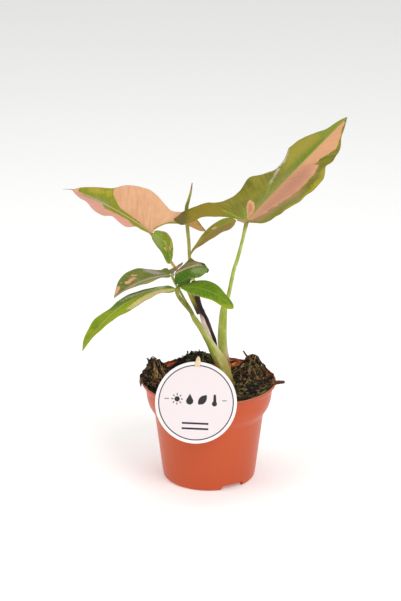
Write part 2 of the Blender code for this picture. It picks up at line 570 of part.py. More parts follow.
def main():
    for obj in list(bpy.data.objects):
        bpy.data.objects.remove(obj)
    plastic = material("terracotta plastic", (0.60, 0.13, 0.045), 0.38)
    peat = material("peat and fibre", (0.035, 0.022, 0.014), 0.95)
    bark = material("bark", (0.45, 0.16, 0.06), 0.85)
    paper = material("coated card", (0.90, 0.84, 0.85), 0.55)
    wood = material("birch", (0.80, 0.58, 0.38), 0.6)
    green_stem = material("green petiole", (0.42, 0.50, 0.12), 0.45)
    dark_bark = material("dark stem", (0.03, 0.018, 0.014), 0.6)
    furled = material("furled leaf", (0.36, 0.45, 0.08), 0.4)
    leaf_green = material("leaf, green", (0.16, 0.33, 0.035), 0.4)
    leaf_olive = material("leaf, olive", (0.22, 0.24, 0.05), 0.4)
    leaf_pink = material("leaf, pink and green", (0.55, 0.40, 0.25), 0.42)

    make_pot(plastic)
    make_card(paper)
    add_object("label_stick", pick_mesh(), wood)
    add_object("bark_chip", chip_mesh(), bark)

    holes = [tube(PETIOLE_RIGHT[:3], 12, GAP), tube(DARK_STEM[:3], 10, GAP),
             tube(FRONT_SHOOT[:4], 16, GAP), pick_mesh(GAP), chip_mesh(GAP)]
    make_soil(peat, [add_object("hole", bm, peat) for bm in holes])

    add_object("dark_stem", tube(DARK_STEM, 10), dark_bark)
    add_object("leader", tube(LEADER, 8), furled)

    right = seat_under(tube(PETIOLE_RIGHT, 12), BLADES["blade_right"])
    right = add_object("petiole_right", right, green_stem)
    boolean(right, "UNION", [add_object("stalk", tube(RIGHT_STALK, 8), green_stem)])

    left = seat_under(tube(PETIOLE_LEFT, 10), BLADES["blade_left"])
    left = add_object("petiole_left", left, green_stem)
    boolean(left, "UNION", [add_object("stalk", tube(LEFT_STALK, 8), green_stem)])
    boolean(left, "DIFFERENCE", [add_object("stem", tube(DARK_STEM, 10, GAP), green_stem)])

    shoot = add_object("front_shoot", tube(FRONT_SHOOT, 16, ribs=8, rib_depth=0.035), green_stem)
    branches = [CENTRE_PETIOLE, FRONT_PETIOLE, CENTRE_STALK, FRONT_STALK]
    boolean(shoot, "UNION", [add_object("branch", tube(b, 8), green_stem) for b in branches])

    leaf_materials = {"blade_right": leaf_olive, "blade_right_leaflet": leaf_olive,
                      "blade_left": leaf_pink, "blade_left_leaflet": leaf_green}
    for name, data in BLADES.items():
        add_object(name, sheet(data), leaf_materials.get(name, leaf_green), 30.0)


main()
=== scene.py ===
"""Finishes the potted arrowhead plant: leaves, stems, soil, pot, card and stage.

Sizes are in millimetres and angles in degrees unless a name says otherwise. Each mesh is scaled
to metres as its object is made, and its place is in its vertices.
"""
import math
import random

import bmesh
import bpy
import numpy as np
from bpy.props import FloatProperty, FloatVectorProperty, IntProperty, PointerProperty
from mathutils import Matrix, Vector, noise


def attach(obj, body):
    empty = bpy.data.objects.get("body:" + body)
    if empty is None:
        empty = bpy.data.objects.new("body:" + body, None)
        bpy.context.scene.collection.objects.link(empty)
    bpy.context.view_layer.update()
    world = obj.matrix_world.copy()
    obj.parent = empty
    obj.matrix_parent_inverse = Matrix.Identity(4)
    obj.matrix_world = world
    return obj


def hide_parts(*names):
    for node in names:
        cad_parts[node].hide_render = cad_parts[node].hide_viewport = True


bl_info = {
    "name": "Potted Arrowhead Plant",
    "version": (1, 0, 0),
    "blender": (4, 5, 0),
    "location": "View3D > Sidebar > Plant",
    "description": "Builds the finished leaves, stems, soil, pot and card of a potted plant",
    "category": "Add Mesh",
}

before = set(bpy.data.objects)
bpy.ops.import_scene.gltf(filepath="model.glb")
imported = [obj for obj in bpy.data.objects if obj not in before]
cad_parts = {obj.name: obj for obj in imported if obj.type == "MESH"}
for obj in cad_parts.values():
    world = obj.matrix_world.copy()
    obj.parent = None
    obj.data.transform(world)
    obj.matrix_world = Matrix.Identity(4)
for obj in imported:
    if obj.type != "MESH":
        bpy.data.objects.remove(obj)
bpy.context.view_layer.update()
MM = 0.001
GAP = 0.3
# Without a seed, noise_vector starts from the clock.
NOISE_SEED = 5
noise.seed_set(NOISE_SEED)

# Pot: the outer side from the foot to the lip, as radius and height.
POT_TOP_R = 60.0
POT_HEIGHT = 90.6
POT_FOOT_R = 40.0
POT_WALL = 1.4
POT_BODY = [(POT_FOOT_R, 0), (41.3, 1.6), (42.1, 6), (48.8, 60.2)]
POT_BAND = [(49.5, 61.0), (50.6, 63.2), (53.4, 67.8), (55.4, 73.8), (56.2, 79.3), (56.7, 84.6),
            (57.7, 87.2), (POT_TOP_R, 88.7)]
LIP_ROUND = 0.6
EDGE_ROUND = 0.35
CHANNEL_Z = 5.0
CHANNEL_SLOPE = 1.8
FOOT_WIDTH = 2.3
BOSS_R = 12.0
DRAIN_COUNT = 8
DRAIN_R = 3.0
DRAIN_CIRCLE_R = 26.0
DRAIN_DEPTH = 6.0
NOTCH_ANGLES = (-59.0, 121.0)
NOTCH_REACH = 41.0
NOTCH_SIZE = (14.0, 22.0, 9.2)
NOTCH_ROUND = 2.4

# Soil: a level with mounds (place, height, spread) and small lumps.
SOIL_LEVEL = 86.5
SOIL_WALL_TOP = 80.0
SOIL_WALL_STEP = 4.0
SOIL_WALL_STEPS = 19
SOIL_R = 54.2
SOIL_FACETS = 170
SOIL_SEED = 7
LUMP_WAVES = 5
LUMP_HEIGHT = 0.45
LUMP_SIZE = 2.2
LUMP_GROWTH = 0.5
LUMP_TURN = 137.5
CRUMB_HEIGHT = 1.3
CRUMB_SIZE = 4.0
MOUNDS = [((-10, 43), 12.5, 11.0), ((-51, 9), 18.0, 8.5), ((-43, 24), 4.0, 9.0),
          ((40, 31), 15.5, 8.0), ((-40, -22), 3.0, 9.0), ((28, 42), -3.5, 6.0),
          ((26, 50), 4.5, 4.5), ((-36, 38), -1.0, 6.0), ((48, -10), 2.0, 9.0)]
# Twigs: foot, tip and half thickness.
TWIGS = [
    ((46, -9, 85.5), (59, -12.5, 92.6), 1.9), ((56, -12, 92.3), (67.2, -12, 92.8), 1.6),
    ((42, 24, 93), (31, 30.5, 106.5), 0.9), ((52, 11, 84), (38, 28, 98.5), 0.8),
    ((-48, 12, 92), (-55.5, 12, 106.5), 1.0), ((-47, 3, 92), (-59.5, 1.5, 98.5), 0.9),
    ((-46, -4, 90), (-60.5, -7.5, 93.0), 0.9), ((-50, 6, 94), (-44, -12, 92.5), 0.9),
    ((-19, 43, 92), (-19.5, 44, 101.5), 0.8), ((-9.5, 45, 94), (-9.5, 46, 99.8), 0.9),
    ((-6, 44, 94), (-5.5, 45, 99.0), 0.8), ((50, 8, 86), (57.5, 5, 94.0), 1.5)]
TWIG_BEND = 0.7
TWIG_ROUGH = 0.22
# Soil spilt over the lip at the left: its width, its height above the lip and how it falls past
# it, its clods, how far from the axis they lie, and the middle and spread of their angle.
SPILL_WIDTH = 6.0
SPILL_LIFT = 0.4
SPILL_FALL = 1.2
SPILL_CLODS = 260
SPILL_REACH = (50.5, 59.5)
SPILL_ANGLE = (172, 13)
# Clods: the least size and how much more it may be, the three sides of one of size 1, how high
# its middle lies, the size past which one has a finer mesh, and how far its points are thrown.
CLOD_SIZE = (0.5, 1.7)
CLOD_SHAPE = (1.4, 1.0, 0.8)
CLOD_RISE = 0.3
CLOD_FINE = 1.3
CLOD_ROUGH = 0.45
# Fibres: how much the heading of one turns at every step and from one step to the next, in
# degrees, its number of steps, how its length and its thickness vary, the share of the thickness
# at its ends, and how high it lies on the soil.
FIBRE_BEND = 9
FIBRE_JITTER = 12
FIBRE_STEPS = (5, 9)
FIBRE_LENGTH = (0.5, 1.4)
FIBRE_THICKNESS = (0.6, 1.1)
FIBRE_END = 0.35
FIBRE_RISE = 0.25
STRAND_RISE = 0.6
STRAND_STEP = 2.5
# Long strands: places on the soil, with the height above it where there is a third number.
TAN_STRANDS = [[(31, 30.5, 3.0), (36, 27.5, 1.2), (44.7, 22.4, 1.0), (49.2, 17.8, 1.0), (51.2, 7.1, 0.8)],
               [(-57, 16), (-50, 12), (-42, 9), (-34, 10)], [(-59, 4), (-52, 2), (-45, -4), (-40, -12)],
               [(-60.5, -2), (-54, 2), (-48, 8), (-44, 16)], [(-54, -12), (-47, -8), (-38, -8)],
               [(40, 6), (47, 1), (52, -8)]]
OLIVE_STRANDS = [[(28, -2), (37, -1), (44, 1), (50, 5)], [(27, -15), (37, -15), (45, -11), (51, -5)],
                 [(23, -28), (33, -27), (42, -22), (48, -14)], [(-22, 38), (-10, 40), (2, 43)],
                 [(29, 8), (37, 9), (45, 9), (51, 12)], [(20, -34), (30, -33), (39, -28)]]
DARK_STRANDS = [[(27, -8), (36, -8), (44, -5), (51, -1)], [(29, -22), (38, -21), (46, -15)],
                [(30, 3), (38, 4), (46, 6), (52, 10)], [(26, 14), (34, 14), (42, 13), (49, 16)]]
CHIP_PLACE = (24.0, 43.5, 87.6)
CHIP_SIZE = (11.0, 5.0, 2.4)
CHIP_TURN = (24.0, -8.0, 14.0)
# Room left bare round the chip: beside it, in front and behind.
CHIP_ROOM = (8.5, 13.0, 7.0)

# Card and pick
CARD_R = 35.5
CARD_FACETS = 144
CARD_T = 0.8
CARD_LEAN = 18.5
CARD_TURN = -2.5
CARD_CENTRE = (-11.6, -60.2, 92.6)
# The slit's corners on the card's back, and how far they shift on its front, along the pick.
SLIT = [(-2.7, 29.05), (2.2, 29.05), (2.3, 32.0), (-2.5, 32.0)]
SLIT_SHIFT = (0.12, 1.8)
RING_R = 31.85
RING_WIDTH = 0.9
INK_T = 0.06
PICK_WIDTH = 4.5
PICK_T = 1.1
PICK_FOOT = (-16.8, -45.0, 70.0)
PICK_TIP = (-9.2, -51.2, 132.0)

# Stems: points of the centre line with the half width across the view and the half depth.
PETIOLE_RIGHT = [
    ((17.5, 5, 71), 4.1, 4.0), ((16.5, 5, 88), 4.1, 4.0), ((14.7, 4.5, 105.6), 4.0, 3.9),
    ((12.6, 3.6, 117.4), 4.0, 3.8), ((11.6, 2, 131.3), 4.0, 3.5), ((12.6, -1, 155), 3.3, 2.8),
    ((14.3, -2.5, 164), 2.0, 1.9), ((16.9, -4, 171.9), 1.8, 1.8), ((21.4, -7, 196), 1.6, 1.6),
    ((24.3, -8, 205.6), 1.6, 1.6), ((28.8, -9.5, 224.3), 1.4, 1.4), ((30.6, -10, 233.5), 1.6, 1.6),
    ((32.1, -10, 240), 1.9, 1.9), ((32.6, -10, 244), 1.9, 1.9)]
RIGHT_STALK = [((31.4, -10.2, 240.2), 0.9, 0.9), ((27.3, -10.5, 241.9), 0.85, 0.85),
               ((24.0, -11, 243.0), 0.8, 0.8)]
DARK_STEM = [
    ((8.2, 6.2, 72), 1.9, 1.9), ((7.6, 6, 90), 1.9, 1.9), ((6.6, 5.6, 110), 2.0, 2.0),
    ((4.9, 5, 124.5), 2.0, 2.0), ((1.6, 5.5, 133.8), 2.2, 2.0), ((-2.4, 7, 145.6), 1.7, 1.7),
    ((-6.4, 8, 151.6), 2.6, 2.2), ((-8.4, 9.6, 159), 1.7, 1.7), ((-11, 11.5, 167), 2.2, 2.0),
    ((-14, 15, 179), 1.9, 1.9)]
LEADER = [
    ((-14.1, 15.1, 179.35), 1.8, 1.8), ((-17.2, 20, 194.6), 1.5, 1.5), ((-18.1, 25, 211), 1.5, 1.5),
    ((-19.5, 28, 225.6), 1.6, 1.6), ((-20.1, 28.5, 241.1), 1.6, 1.6), ((-18.1, 29, 249), 1.35, 1.35),
    ((-16.2, 29, 256.7), 0.95, 0.95), ((-15, 29, 264.8), 0.4, 0.4)]
PETIOLE_LEFT = [
    ((-9.6, 9, 149.6), 3.0, 2.4), ((-12.9, 11, 158.7), 2.5, 2.2), ((-16.3, 13, 166.4), 2.4, 2.1),
    ((-20.8, 16, 174.4), 1.7, 1.7), ((-29.3, 20, 187.6), 1.4, 1.4), ((-35.7, 23.5, 196.3), 1.3, 1.3),
    ((-43.7, 28, 207.9), 1.3, 1.3), ((-49.5, 31.8, 214.8), 1.6, 1.6), ((-53.5, 34.5, 220), 1.6, 1.6)]
LEFT_STALK = [((-48.8, 31.3, 214), 1.0, 1.0), ((-51, 29.6, 217), 0.9, 0.9),
              ((-51.3, 27.4, 218.6), 0.8, 0.8)]
FRONT_SHOOT = [
    ((20.5, -5, 71), 6.0, 4.4), ((16.9, -5, 87.3), 6.0, 4.4), ((13.2, -5, 99.7), 6.1, 4.3),
    ((10.1, -5, 110.2), 5.6, 3.9), ((4.7, -5, 120.1), 4.5, 3.4), ((0.3, -5, 128.2), 3.4, 2.8),
    ((-7.3, -6, 141.8), 2.6, 2.2), ((-12.9, -7, 150.7), 2.5, 2.0), ((-16.3, -8, 157.6), 2.2, 1.6)]
DRY_SHEATH = [((-8.0, 5.8, 150.5), 0.8, 0.25), ((-6.2, 4.9, 147.2), 1.7, 0.3),
              ((-4.9, 4.2, 142.9), 2.0, 0.3), ((-1.6, 3.3, 135.6), 1.9, 0.3),
              ((1.6, 2.6, 128.2), 1.4, 0.3), ((3.8, 2.9, 123.0), 0.6, 0.25)]
CENTRE_PETIOLE = [
    ((-13.6, -7, 152.6), 1.2, 1.2), ((-16.2, -7.8, 159.3), 1.1, 1.1), ((-21.3, -8, 168.2), 1.0, 1.0),
    ((-26.1, -8, 177.5), 1.0, 1.0), ((-30, -9, 184.7), 1.0, 1.0), ((-32.3, -11.2, 191), 1.1, 1.1),
    ((-32.4, -11.7, 193.6), 1.2, 1.2)]
CENTRE_STALK = [((-32.2, -11.6, 192.6), 0.9, 0.9), ((-30.6, -12.1, 193.8), 0.8, 0.8)]
FRONT_PETIOLE = [
    ((-14.5, -7.6, 154.6), 1.3, 1.3), ((-17, -8.8, 159.2), 1.3, 1.3), ((-21.3, -11.5, 165.5), 1.3, 1.3),
    ((-25.6, -15.5, 172.6), 1.3, 1.3), ((-28, -19.6, 179), 1.3, 1.3), ((-27.9, -21.4, 184.2), 1.3, 1.3)]
FRONT_STALK = [((-27.9, -21.2, 183), 1.1, 1.1), ((-25.4, -21, 184.5), 0.9, 0.9)]

# Relief of a leaf: the vein's groove as a share of half the spacing, how far from the margin and
# the midrib it is at its full depth, the midrib's groove and its depth in veins, the small wave
# of the margin and how far in it reaches, the keel under the midrib, and how the blade thins to
# its rim.
VEIN_WIDTH = 0.22
VEIN_FROM_MARGIN = 4.0
VEIN_FROM_RIB = 3.0
RIB_WIDTH = 1.1
RIB_DEPTH = 1.2
MARGIN_WAVE = 0.16
MARGIN_REACH = 2.5
KEEL_HEIGHT = 0.75
KEEL_WIDTH = 0.8
RIM_WIDTH = 1.2
RIM_SHARE = 0.45
# How veins lean and curve from the midrib towards the tip, and the angle between those that fan
# out.
VEIN_LEAN = 0.75
VEIN_CURVE = 0.004
VEIN_FAN = 0.22
# How far from the midrib the margin's wave has its height, and up to what share it still grows.
WAVE_REACH = 20.0
WAVE_LIMIT = 1.5
# Leaves. Each has its base point, heading from +X towards +Y, pitch above level, roll about the
# midrib, bend in degrees per 100 mm, length, the fold at base and tip and the curl of each half,
# the wave of its margin (height, length, phase) and both margins from base to tip, as distances
# along and across the midrib. The tissue gives the main, deep and light tint. Each patch gives
# its name, its two tints, how soft and how ragged its border is, and its outlines on the leaf
# laid flat.
LEAVES = {
    "right": dict(
        node="blade_right", slot="leaf_olive", base=(31.7, -10, 241.2), heading=46, pitch=28.3, roll=8,
        bend=-1.3, length=150.7, left=(10, 10, -40), right=(10, 10, 0), wave=(1.2, 36, 0.1), vein_space=9,
        tissue=("#7F7A22", "#6A6C1A", "#94882C"), rib="#8C9A3A", rim="#8E7A20",
        left_margin=[(-1.5, 2), (-2.1, 8.7), (-4, 16.5), (-7.4, 28.1), (-11.1, 39.6), (-15.5, 43.1),
            (-24.6, 43), (-30.2, 46.6), (-30.4, 52.4), (-27.8, 60.4), (-22.1, 65.7), (-11.6, 66.9),
            (-7, 60.9), (-2.2, 52.1), (1.6, 44.3), (3.5, 37.2), (7.3, 31.7), (15.4, 30.6), (24.8, 30.4),
            (30.3, 28.6), (41.9, 28.5), (49.3, 25.2), (57.6, 20.9), (63.7, 15.9), (76.3, 15.6),
            (85.6, 19.3), (92.9, 22.5), (101.1, 21), (107.6, 17.4), (116.4, 13.1), (129.1, 6.4),
            (140.6, 4)],
        right_margin=[(-0.5, -2), (1, -9.6), (2.9, -16.5), (7.9, -20.9), (13.5, -23.7), (18.4, -28.8),
            (28.3, -32.2), (43.7, -31.5), (52.9, -37.7), (62.8, -38.6), (79.4, -28.7), (85.1, -26),
            (91.1, -30.5), (103.3, -26.2), (114.4, -20.1), (123.7, -13.9), (135, -8.7), (145, -3.1)],
        patches=[
            ("gold", "#9D9434", "#948A2A", 7, 4, [[(66, 6), (76, 16), (84, 21), (93, 25), (107, 19),
                (128, 8), (132, 3), (90, 5)]]),
            ("brown", "#94812C", "#867624", 7, 5, [[(-8, 20), (-2, 22), (6, 36), (-2, 50), (-12, 64),
                (-24, 66), (-32, 54), (-26, 40), (-14, 42)]]),
            ("umber", "#5E5412", "#685E1A", 4, 3, [[(-34, 46), (-33, 58), (-22, 70), (-8, 70), (-9, 61),
                (-18, 54), (-26, 46)]]),
            ("bright", "#5E7818", "#70861E", 3.4, 1.6, [[(-2, -3), (0, 6), (8, 9), (20, 7.5), (35, 6.5),
                (60, 6), (90, 4), (120, 2.6), (149, 2), (149, -3)]]),
            ("tip", "#7C8628", "#84882C", 3, 2, [[(116, 0), (120, 12), (136, 6), (152, 1), (150, -3)]]),
            ("yellow", "#AA9C2A", "#9A922C", 2.5, 2.5, [[(16, -30), (44, -33), (53, -40), (64, -41),
                (84, -28), (80, -25), (63, -33.5), (54, -33.5), (44, -28.5), (28, -29)]]),
            ("streaks", "#8C8A48", "#6E6F24", 2.5, 3, [[(3, -6), (12, -11), (32, -18), (50, -25), (52, -30),
                (30, -28), (12, -21), (4, -13)]]),
            ("blush", "#DEA67A", "#D49C70", 0.35, 0.8, [[(2.5, -0.3), (3.4, -4.4), (12.2, -9), (15.3, -13),
                (18, -11.8), (21.5, -13.8), (25, -17.2), (28, -15.6), (29.6, -18.6), (34, -17), (38.9, -20),
                (44, -19.6), (49, -22.6), (58.7, -25), (71, -22.4), (79.9, -19), (84, -18.4), (83.2, -12.6),
                (88.4, -15.1), (92.9, -15.7), (90, -12.6), (93.9, -16.8), (100.4, -19.3), (108, -19.5),
                (116.7, -16.2), (123.2, -13.4), (132.1, -7.6), (142.4, -4), (145, -0.6), (120, -0.2),
                (60, -0.2)], [(2.9, 0.9), (9.8, 7), (17.4, 12.2), (22.4, 13), (21.2, 7.6), (16.7, 2.9),
                (11.6, 0.8), (6.7, 0.4)]]),
            ("rose", "#C28A6C", "#B8806A", 9, 2.5, [[(2, 0), (6, -8), (20, -15), (44, -22), (66, -22),
                (84, -12), (78, -4), (60, -0.5), (30, -0.5)]]),
            ("russet", "#B07A54", "#C08A5C", 1.6, 1, [[(5, 1.6), (10, 6), (16, 10), (19, 10.6), (18, 7),
                (13, 2.6)]]),
            # Painted highlight: a pale sheen in two streaks on the left half, one along its concave margin.
            ("painted_sheen", "#CDBDB4", "#A89C80", 1.3, 1.3, [[(52, 24), (58, 18.6), (65, 14.4), (74, 13.2),
                (84, 16.6), (90, 21), (86, 21.6), (76, 17.4), (66, 17.4), (58, 23)], [(45, 9.4),
                (54.4, 11.6), (61.3, 13.8), (66.4, 14.6), (66, 12.6), (61.3, 11.8), (54.4, 10.2),
                (46.4, 8.2)]]),
            ("ribs", "#86A034", "#8AA83A", 0.6, 0.4, [[(-0.6, 0), (-1, 10.5), (-0.4, 26), (0.5, 26),
                (0.4, 10.5), (0.6, 0)], [(0, 0), (6.6, 7.4), (11, 11.4), (11.5, 11), (7.4, 6.4)], [(29, 2),
                (40.8, 6.6), (53, 10.6), (53.2, 10), (41, 5.6)]])]),
    "right_leaflet": dict(
        node="blade_right_leaflet", slot="leaf_olive", base=(23.9, -11, 242.9), heading=-165, pitch=-11,
        roll=0, bend=-89, length=52.4, left=(-10, -5, -20), right=(20, 20, -10), wave=(0, 30, 0),
        vein_space=5, tissue=("#8A8028", "#767222", "#9C9034"), rib="#9A8040", rim="#8A7628",
        left_margin=[(1, 1), (4.9, 6.8), (10.8, 10.5), (17.7, 9.6), (27.7, 9.1), (37.6, 6), (45.1, 1.8)],
        right_margin=[(1, -1), (4, -5.3), (10.8, -8), (17.9, -7.4), (28.4, -6), (38.5, -3.2), (47.3, -2)],
        patches=[
            ("bright", "#748018", "#7E8426", 2, 2, [[(0, 0), (1, -3), (10, -9), (20, -8.5), (17, -2),
                (6, 0)]]),
            ("brown", "#8E7640", "#80702E", 2.2, 2, [[(5.6, 0.2), (26, 0.6), (49.6, 0.6), (45, 4),
                (37.6, 7), (27.7, 10), (17.7, 10.5), (10.8, 11.5), (4.9, 7.8)]]),
            ("blush", "#CFA678", "#B98E5C", 0.5, 0.4, [[(18.7, -3.4), (23.3, -3.2), (23.1, -1.2),
                (18.7, -1)]])]),
    "left": dict(
        node="blade_left", slot="leaf_pink", base=(-51.7, 33, 217.8), heading=150, pitch=26.3, roll=0,
        bend=-17.8, length=88.2, left=(5, 5, -20), right=(48, 58, -5), wave=(0.8, 34, 0.2), vein_space=8,
        tissue=("#DCA880", "#D6A078", "#E4B894"), rib="#E8BC9E", rim="#D09468",
        left_margin=[(-1, 1), (-0.3, 3.5), (6.4, 6), (12.7, 7.2), (16.1, 15.6), (20.7, 17.7), (27.7, 16.6),
            (34.2, 16), (37.7, 22.9), (42.9, 23.5), (52, 19.8), (62.8, 14), (74.9, 10.5)],
        right_margin=[(-0.8, -3.9), (-2.7, -9.5), (-6.1, -15.2), (-11.7, -19.1), (-17.4, -22.7),
            (-23.6, -26.1), (-32.7, -31.1), (-35.4, -33.7), (-33.8, -34.4), (-24.4, -35.1), (-16, -33.4),
            (-8.5, -30.6), (-1.4, -28.4), (3.9, -29.1), (11.6, -29.5), (19, -29.8), (26.7, -31.2),
            (35.6, -30.4), (43.1, -25.5), (46.7, -22), (52, -16.8), (57.9, -14), (68.2, -10.7),
            (81.2, -4.6)],
        patches=[
            ("rose", "#DFA28E", "#DA9E90", 0.6, 0.5, [[(90, 0), (86, 6), (62, 16), (44, 27), (33, 19),
                (20, 21), (10, 10), (-3, 3), (0, 0)]]),
            ("leaf_green", "#95962C", "#7A8C22", 0.35, 0.7, [[(82, -0.4), (81, -6), (68.2, -13),
                (57.9, -16.5), (52, -20), (49.4, -19.5), (51.3, -15.5), (50.5, -11.4), (46.4, -9),
                (42.3, -6.5), (37.4, -3.6), (28.1, -2.8), (16.8, -2), (4.8, -0.8), (-0.6, -0.4), (-1.4, 3),
                (5.4, 8.5), (14, 9), (22.7, 5.4), (31.1, 6.3), (38.6, 7.6), (46.8, 8.3), (51, 4.4),
                (55.4, 1.4), (63.7, 2.4), (72.8, 3.2)], [(-0.2, -3.6), (-4, -9.5), (-7.5, -16),
                (-13, -20.5), (-19, -24.6), (-25, -28), (-34, -33), (-37, -35), (-33, -31.6), (-22, -26.3),
                (-13.6, -22), (-6.2, -17.4), (-2.3, -11.4), (0.6, -4.6)], [(-20, -36), (-30, -37),
                (-37, -35), (-35, -33), (-29.3, -33.4), (-22, -33.6)]]),
            ("sage", "#93A46C", "#7E9450", 1.2, 1.2, [[(78, 0.2), (62, -2.4), (50, -2.4), (46, 1),
                (47, 4.5), (52, 2), (62, 1.4)]]),
            ("gold", "#B09E34", "#A3A032", 1.4, 1.6, [[(72, -4), (74, -7.6), (66, -11), (60, -12), (58, -8),
                (64, -5)], [(54, -6), (58, -11), (53, -15), (51, -10)]]),
            ("flecks", "#D2B46C", "#C4A858", 0.4, 0.5, [[(71, -6.6), (73.4, -6.2), (73, -7.2)], [(63, -8.6),
                (65, -8), (64.6, -9.4)], [(57.4, -11.4), (59, -10.6), (58.6, -12.4)], [(66, -4.4),
                (68.4, -4), (67, -5.4)]]),
            # The lobe's end is golden, and is painted lighter still to offset the shade that falls on it.
            ("lobe_end", "#DEA45E", "#DAAA6C", 1.4, 1.6, [[(-18, -25), (-27, -29), (-35, -33), (-30, -34),
                (-21, -33), (-16, -30)]])]),
    "left_leaflet": dict(
        node="blade_left_leaflet", slot="leaf_green", base=(-50.9, 27, 218.6), heading=-40, pitch=-1.2,
        roll=10, bend=-299, length=36.4, left=(0, 0, 0), right=(0, 0, 0), wave=(0, 30, 0), vein_space=4.5,
        tissue=("#7C9426", "#64821A", "#98A436"), rib="#9AA850", rim="#98982E",
        left_margin=[(0.8, 1.2), (-0.8, 4), (-1.2, 6.7), (3.2, 8.8), (7.9, 11), (14.5, 9.9), (24, 6.1),
            (31.7, 2.2)],
        right_margin=[(0.8, -1.1), (6, -6.6), (14.5, -9.1), (23.7, -7.9), (32.6, -5.2)],
        patches=[
            ("sage", "#94A058", "#7E8E3A", 1.8, 1.5, [[(1, -1), (2, -3), (10, -8), (20, -7), (14, -2),
                (6, 2)]]),
            ("gold", "#B8A63A", "#C9A85C", 0.5, 0.8, [[(14, 9.5), (18, 8), (23, 5.5), (22, 3.5), (18, 5.5)],
                [(12, 1), (15, 2.4), (19, 2), (16, 0.4)]]),
            ("blush", "#DB9C82", "#D9A27B", 0.35, 0.5, [[(1, 8.6), (6, 12.5), (12, 12.5), (16, 9.2),
                (13, 8.6), (8, 9.6), (3, 7.6)], [(6, 3.6), (9.4, 5.2), (8.4, 6), (5.4, 4.6)], [(18, -2.6),
                (22, -1.4), (23, -2.8), (19, -4)], [(20, 2.2), (24, 1.2), (26, 1.8), (22, 3.4)]]),
            ("flecks", "#D8C46A", "#C9C058", 0.4, 0.5, [[(9, 1), (11, 1.6), (10, 0.2)], [(26, -2),
                (28, -1.2), (27.4, -2.6)], [(29, 1.6), (31, 1.2), (29.6, 0.6)], [(15, -5), (16.6, -4.4),
                (16, -5.8)], [(24, 4), (27.6, 2.8), (28, 3.8), (25, 5)], [(12, 6.4), (14, 6.8),
                (13, 7.6)]])]),
    "centre": dict(
        node="blade_centre", slot="leaf_green", base=(-32.6, -12, 193.1), heading=-134, pitch=12.5, roll=0,
        bend=-43.4, length=71.1, left=(-25, 35, 0), right=(22, 28, 0), wave=(0.5, 26, 0.1), vein_space=5.5,
        tissue=("#6C7630", "#5C6C24", "#86893A"), rib="#B9A090", rim="#86862E",
        left_margin=[(1.6, 1.2), (7, 3.5), (16, 3), (24, 4.5), (33, 8.5), (44, 9.5), (54, 7), (63, 3.5)],
        right_margin=[(1.6, -1.2), (-2.5, -6), (-3, -10.5), (2, -10), (7.1, -8.2), (18.2, -10.7),
            (26.8, -15.5), (36.6, -15.6), (46.7, -13.8), (55, -10.9), (63.3, -5.4)],
        patches=[
            ("gold", "#9C985A", "#8A8C3C", 1.6, 1.4, [[(20, 2), (34, 4), (48, 5), (60, 3), (56, 9),
                (44, 12), (32, 10), (22, 6)]]),
            # Painted highlight: a pale sheen along the near fold and along the midrib.
            ("painted_sheen", "#A89C92", "#8A8268", 1.4, 1.8, [[(6, -2.6), (10.3, -4.4), (14.7, -8), (19.3, -11.2),
                (25.4, -13.4), (25, -9), (20.2, -4.6), (15.3, -1.8)], [(8, 0), (22.8, -1), (44, -1),
                (56, -0.4), (56, 0.8), (44, 1.4), (30, 1.8), (12, 1.4)]]),
            ("blush", "#D9A07C", "#CC9270", 0.3, 0.7, [[(52.4, -5.4), (51, -7.2), (47.4, -6.4), (45, -7.6),
                (40.6, -7.4), (38.6, -5.8), (41, -4.6), (44, -4.9), (47, -3.6), (50.2, -3.5), (51.8, -4)],
                [(42, -10.2), (38.6, -10.4), (34.6, -8.4), (36, -7.6), (40.6, -8.8)], [(57, 3.8), (50, 1),
                (45, 0.2), (41, 0.8), (45, 2), (51, 4)], [(70, -0.8), (64.4, -4.8), (60.1, -6.8),
                (56.8, -5.6), (61.2, -3.1), (66.1, -1.3)], [(57, -8), (54, -8.6), (53, -7.4), (56, -7)]])]),
    "centre_lobe": dict(
        node="blade_centre_lobe", slot="leaf_green", base=(-31.8, -10.3, 193.6), heading=40, pitch=37,
        roll=0, bend=0, length=14.5, left=(4, 4, 0), right=(-10, -10, 0), wave=(0, 30, 0), vein_space=4,
        tissue=("#7A6A48", "#5E5436", "#8A7450"), rib="#94765A", rim="#7A5A3C",
        left_margin=[(-0.8, 2.5), (-1.5, 5.5), (-1.3, 8.4), (2.9, 6.2), (5.3, 4.6), (9.1, 2.6),
            (12.5, 1.1)],
        right_margin=[(0.3, -0.2), (2.5, 0.4), (5, 0), (8, -0.7), (11.5, -1.2)],
        patches=[
            ("sage", "#7E8058", "#6C7040", 1, 0.8, [[(-3, 4), (-2, 9), (4, 6.4), (5, 3), (1, 2)]]),
            ("blush", "#C08A64", "#B07C56", 0.6, 0.6, [[(6.4, 2.4), (9, 2.4), (9.4, 0), (7, 0.4)]])]),
    "centre_leaflet": dict(
        node="blade_centre_leaflet", slot="leaf_green", base=(-31.3, -12, 193.1), heading=-5, pitch=36.4,
        roll=0, bend=-108.6, length=29.4, left=(50, 50, 0), right=(-35, -35, 0), wave=(0, 30, 0),
        vein_space=4.5, tissue=("#557A1A", "#3E620E", "#6C9028"), rib="#C09A88", rim="#5C7A28",
        left_margin=[(1.6, 0.8), (7.7, 2.9), (12.8, 4.8), (16.8, 7.3), (19, 8.1), (21.1, 5.3), (24.4, 3.3),
            (27.2, 2.3)],
        right_margin=[(1.6, -0.8), (-1, -6), (-1.3, -10.2), (2.8, -12.4), (8.3, -11.5), (13.8, -11.4),
            (19.3, -12.8), (24.9, -12.8), (29.9, -9.7), (32.6, -6.5), (31.8, -2.5)],
        patches=[
            ("umber", "#6C6C30", "#58581E", 0.9, 0.9, [[(0, 0.2), (10, 6), (20, 10), (30, 4), (30, 0.2)]]),
            ("deep", "#3A5C0C", "#4C7214", 1.6, 1.6, [[(0.7, -11), (1.5, -6.5), (7.6, -3.6), (15.3, -3.9),
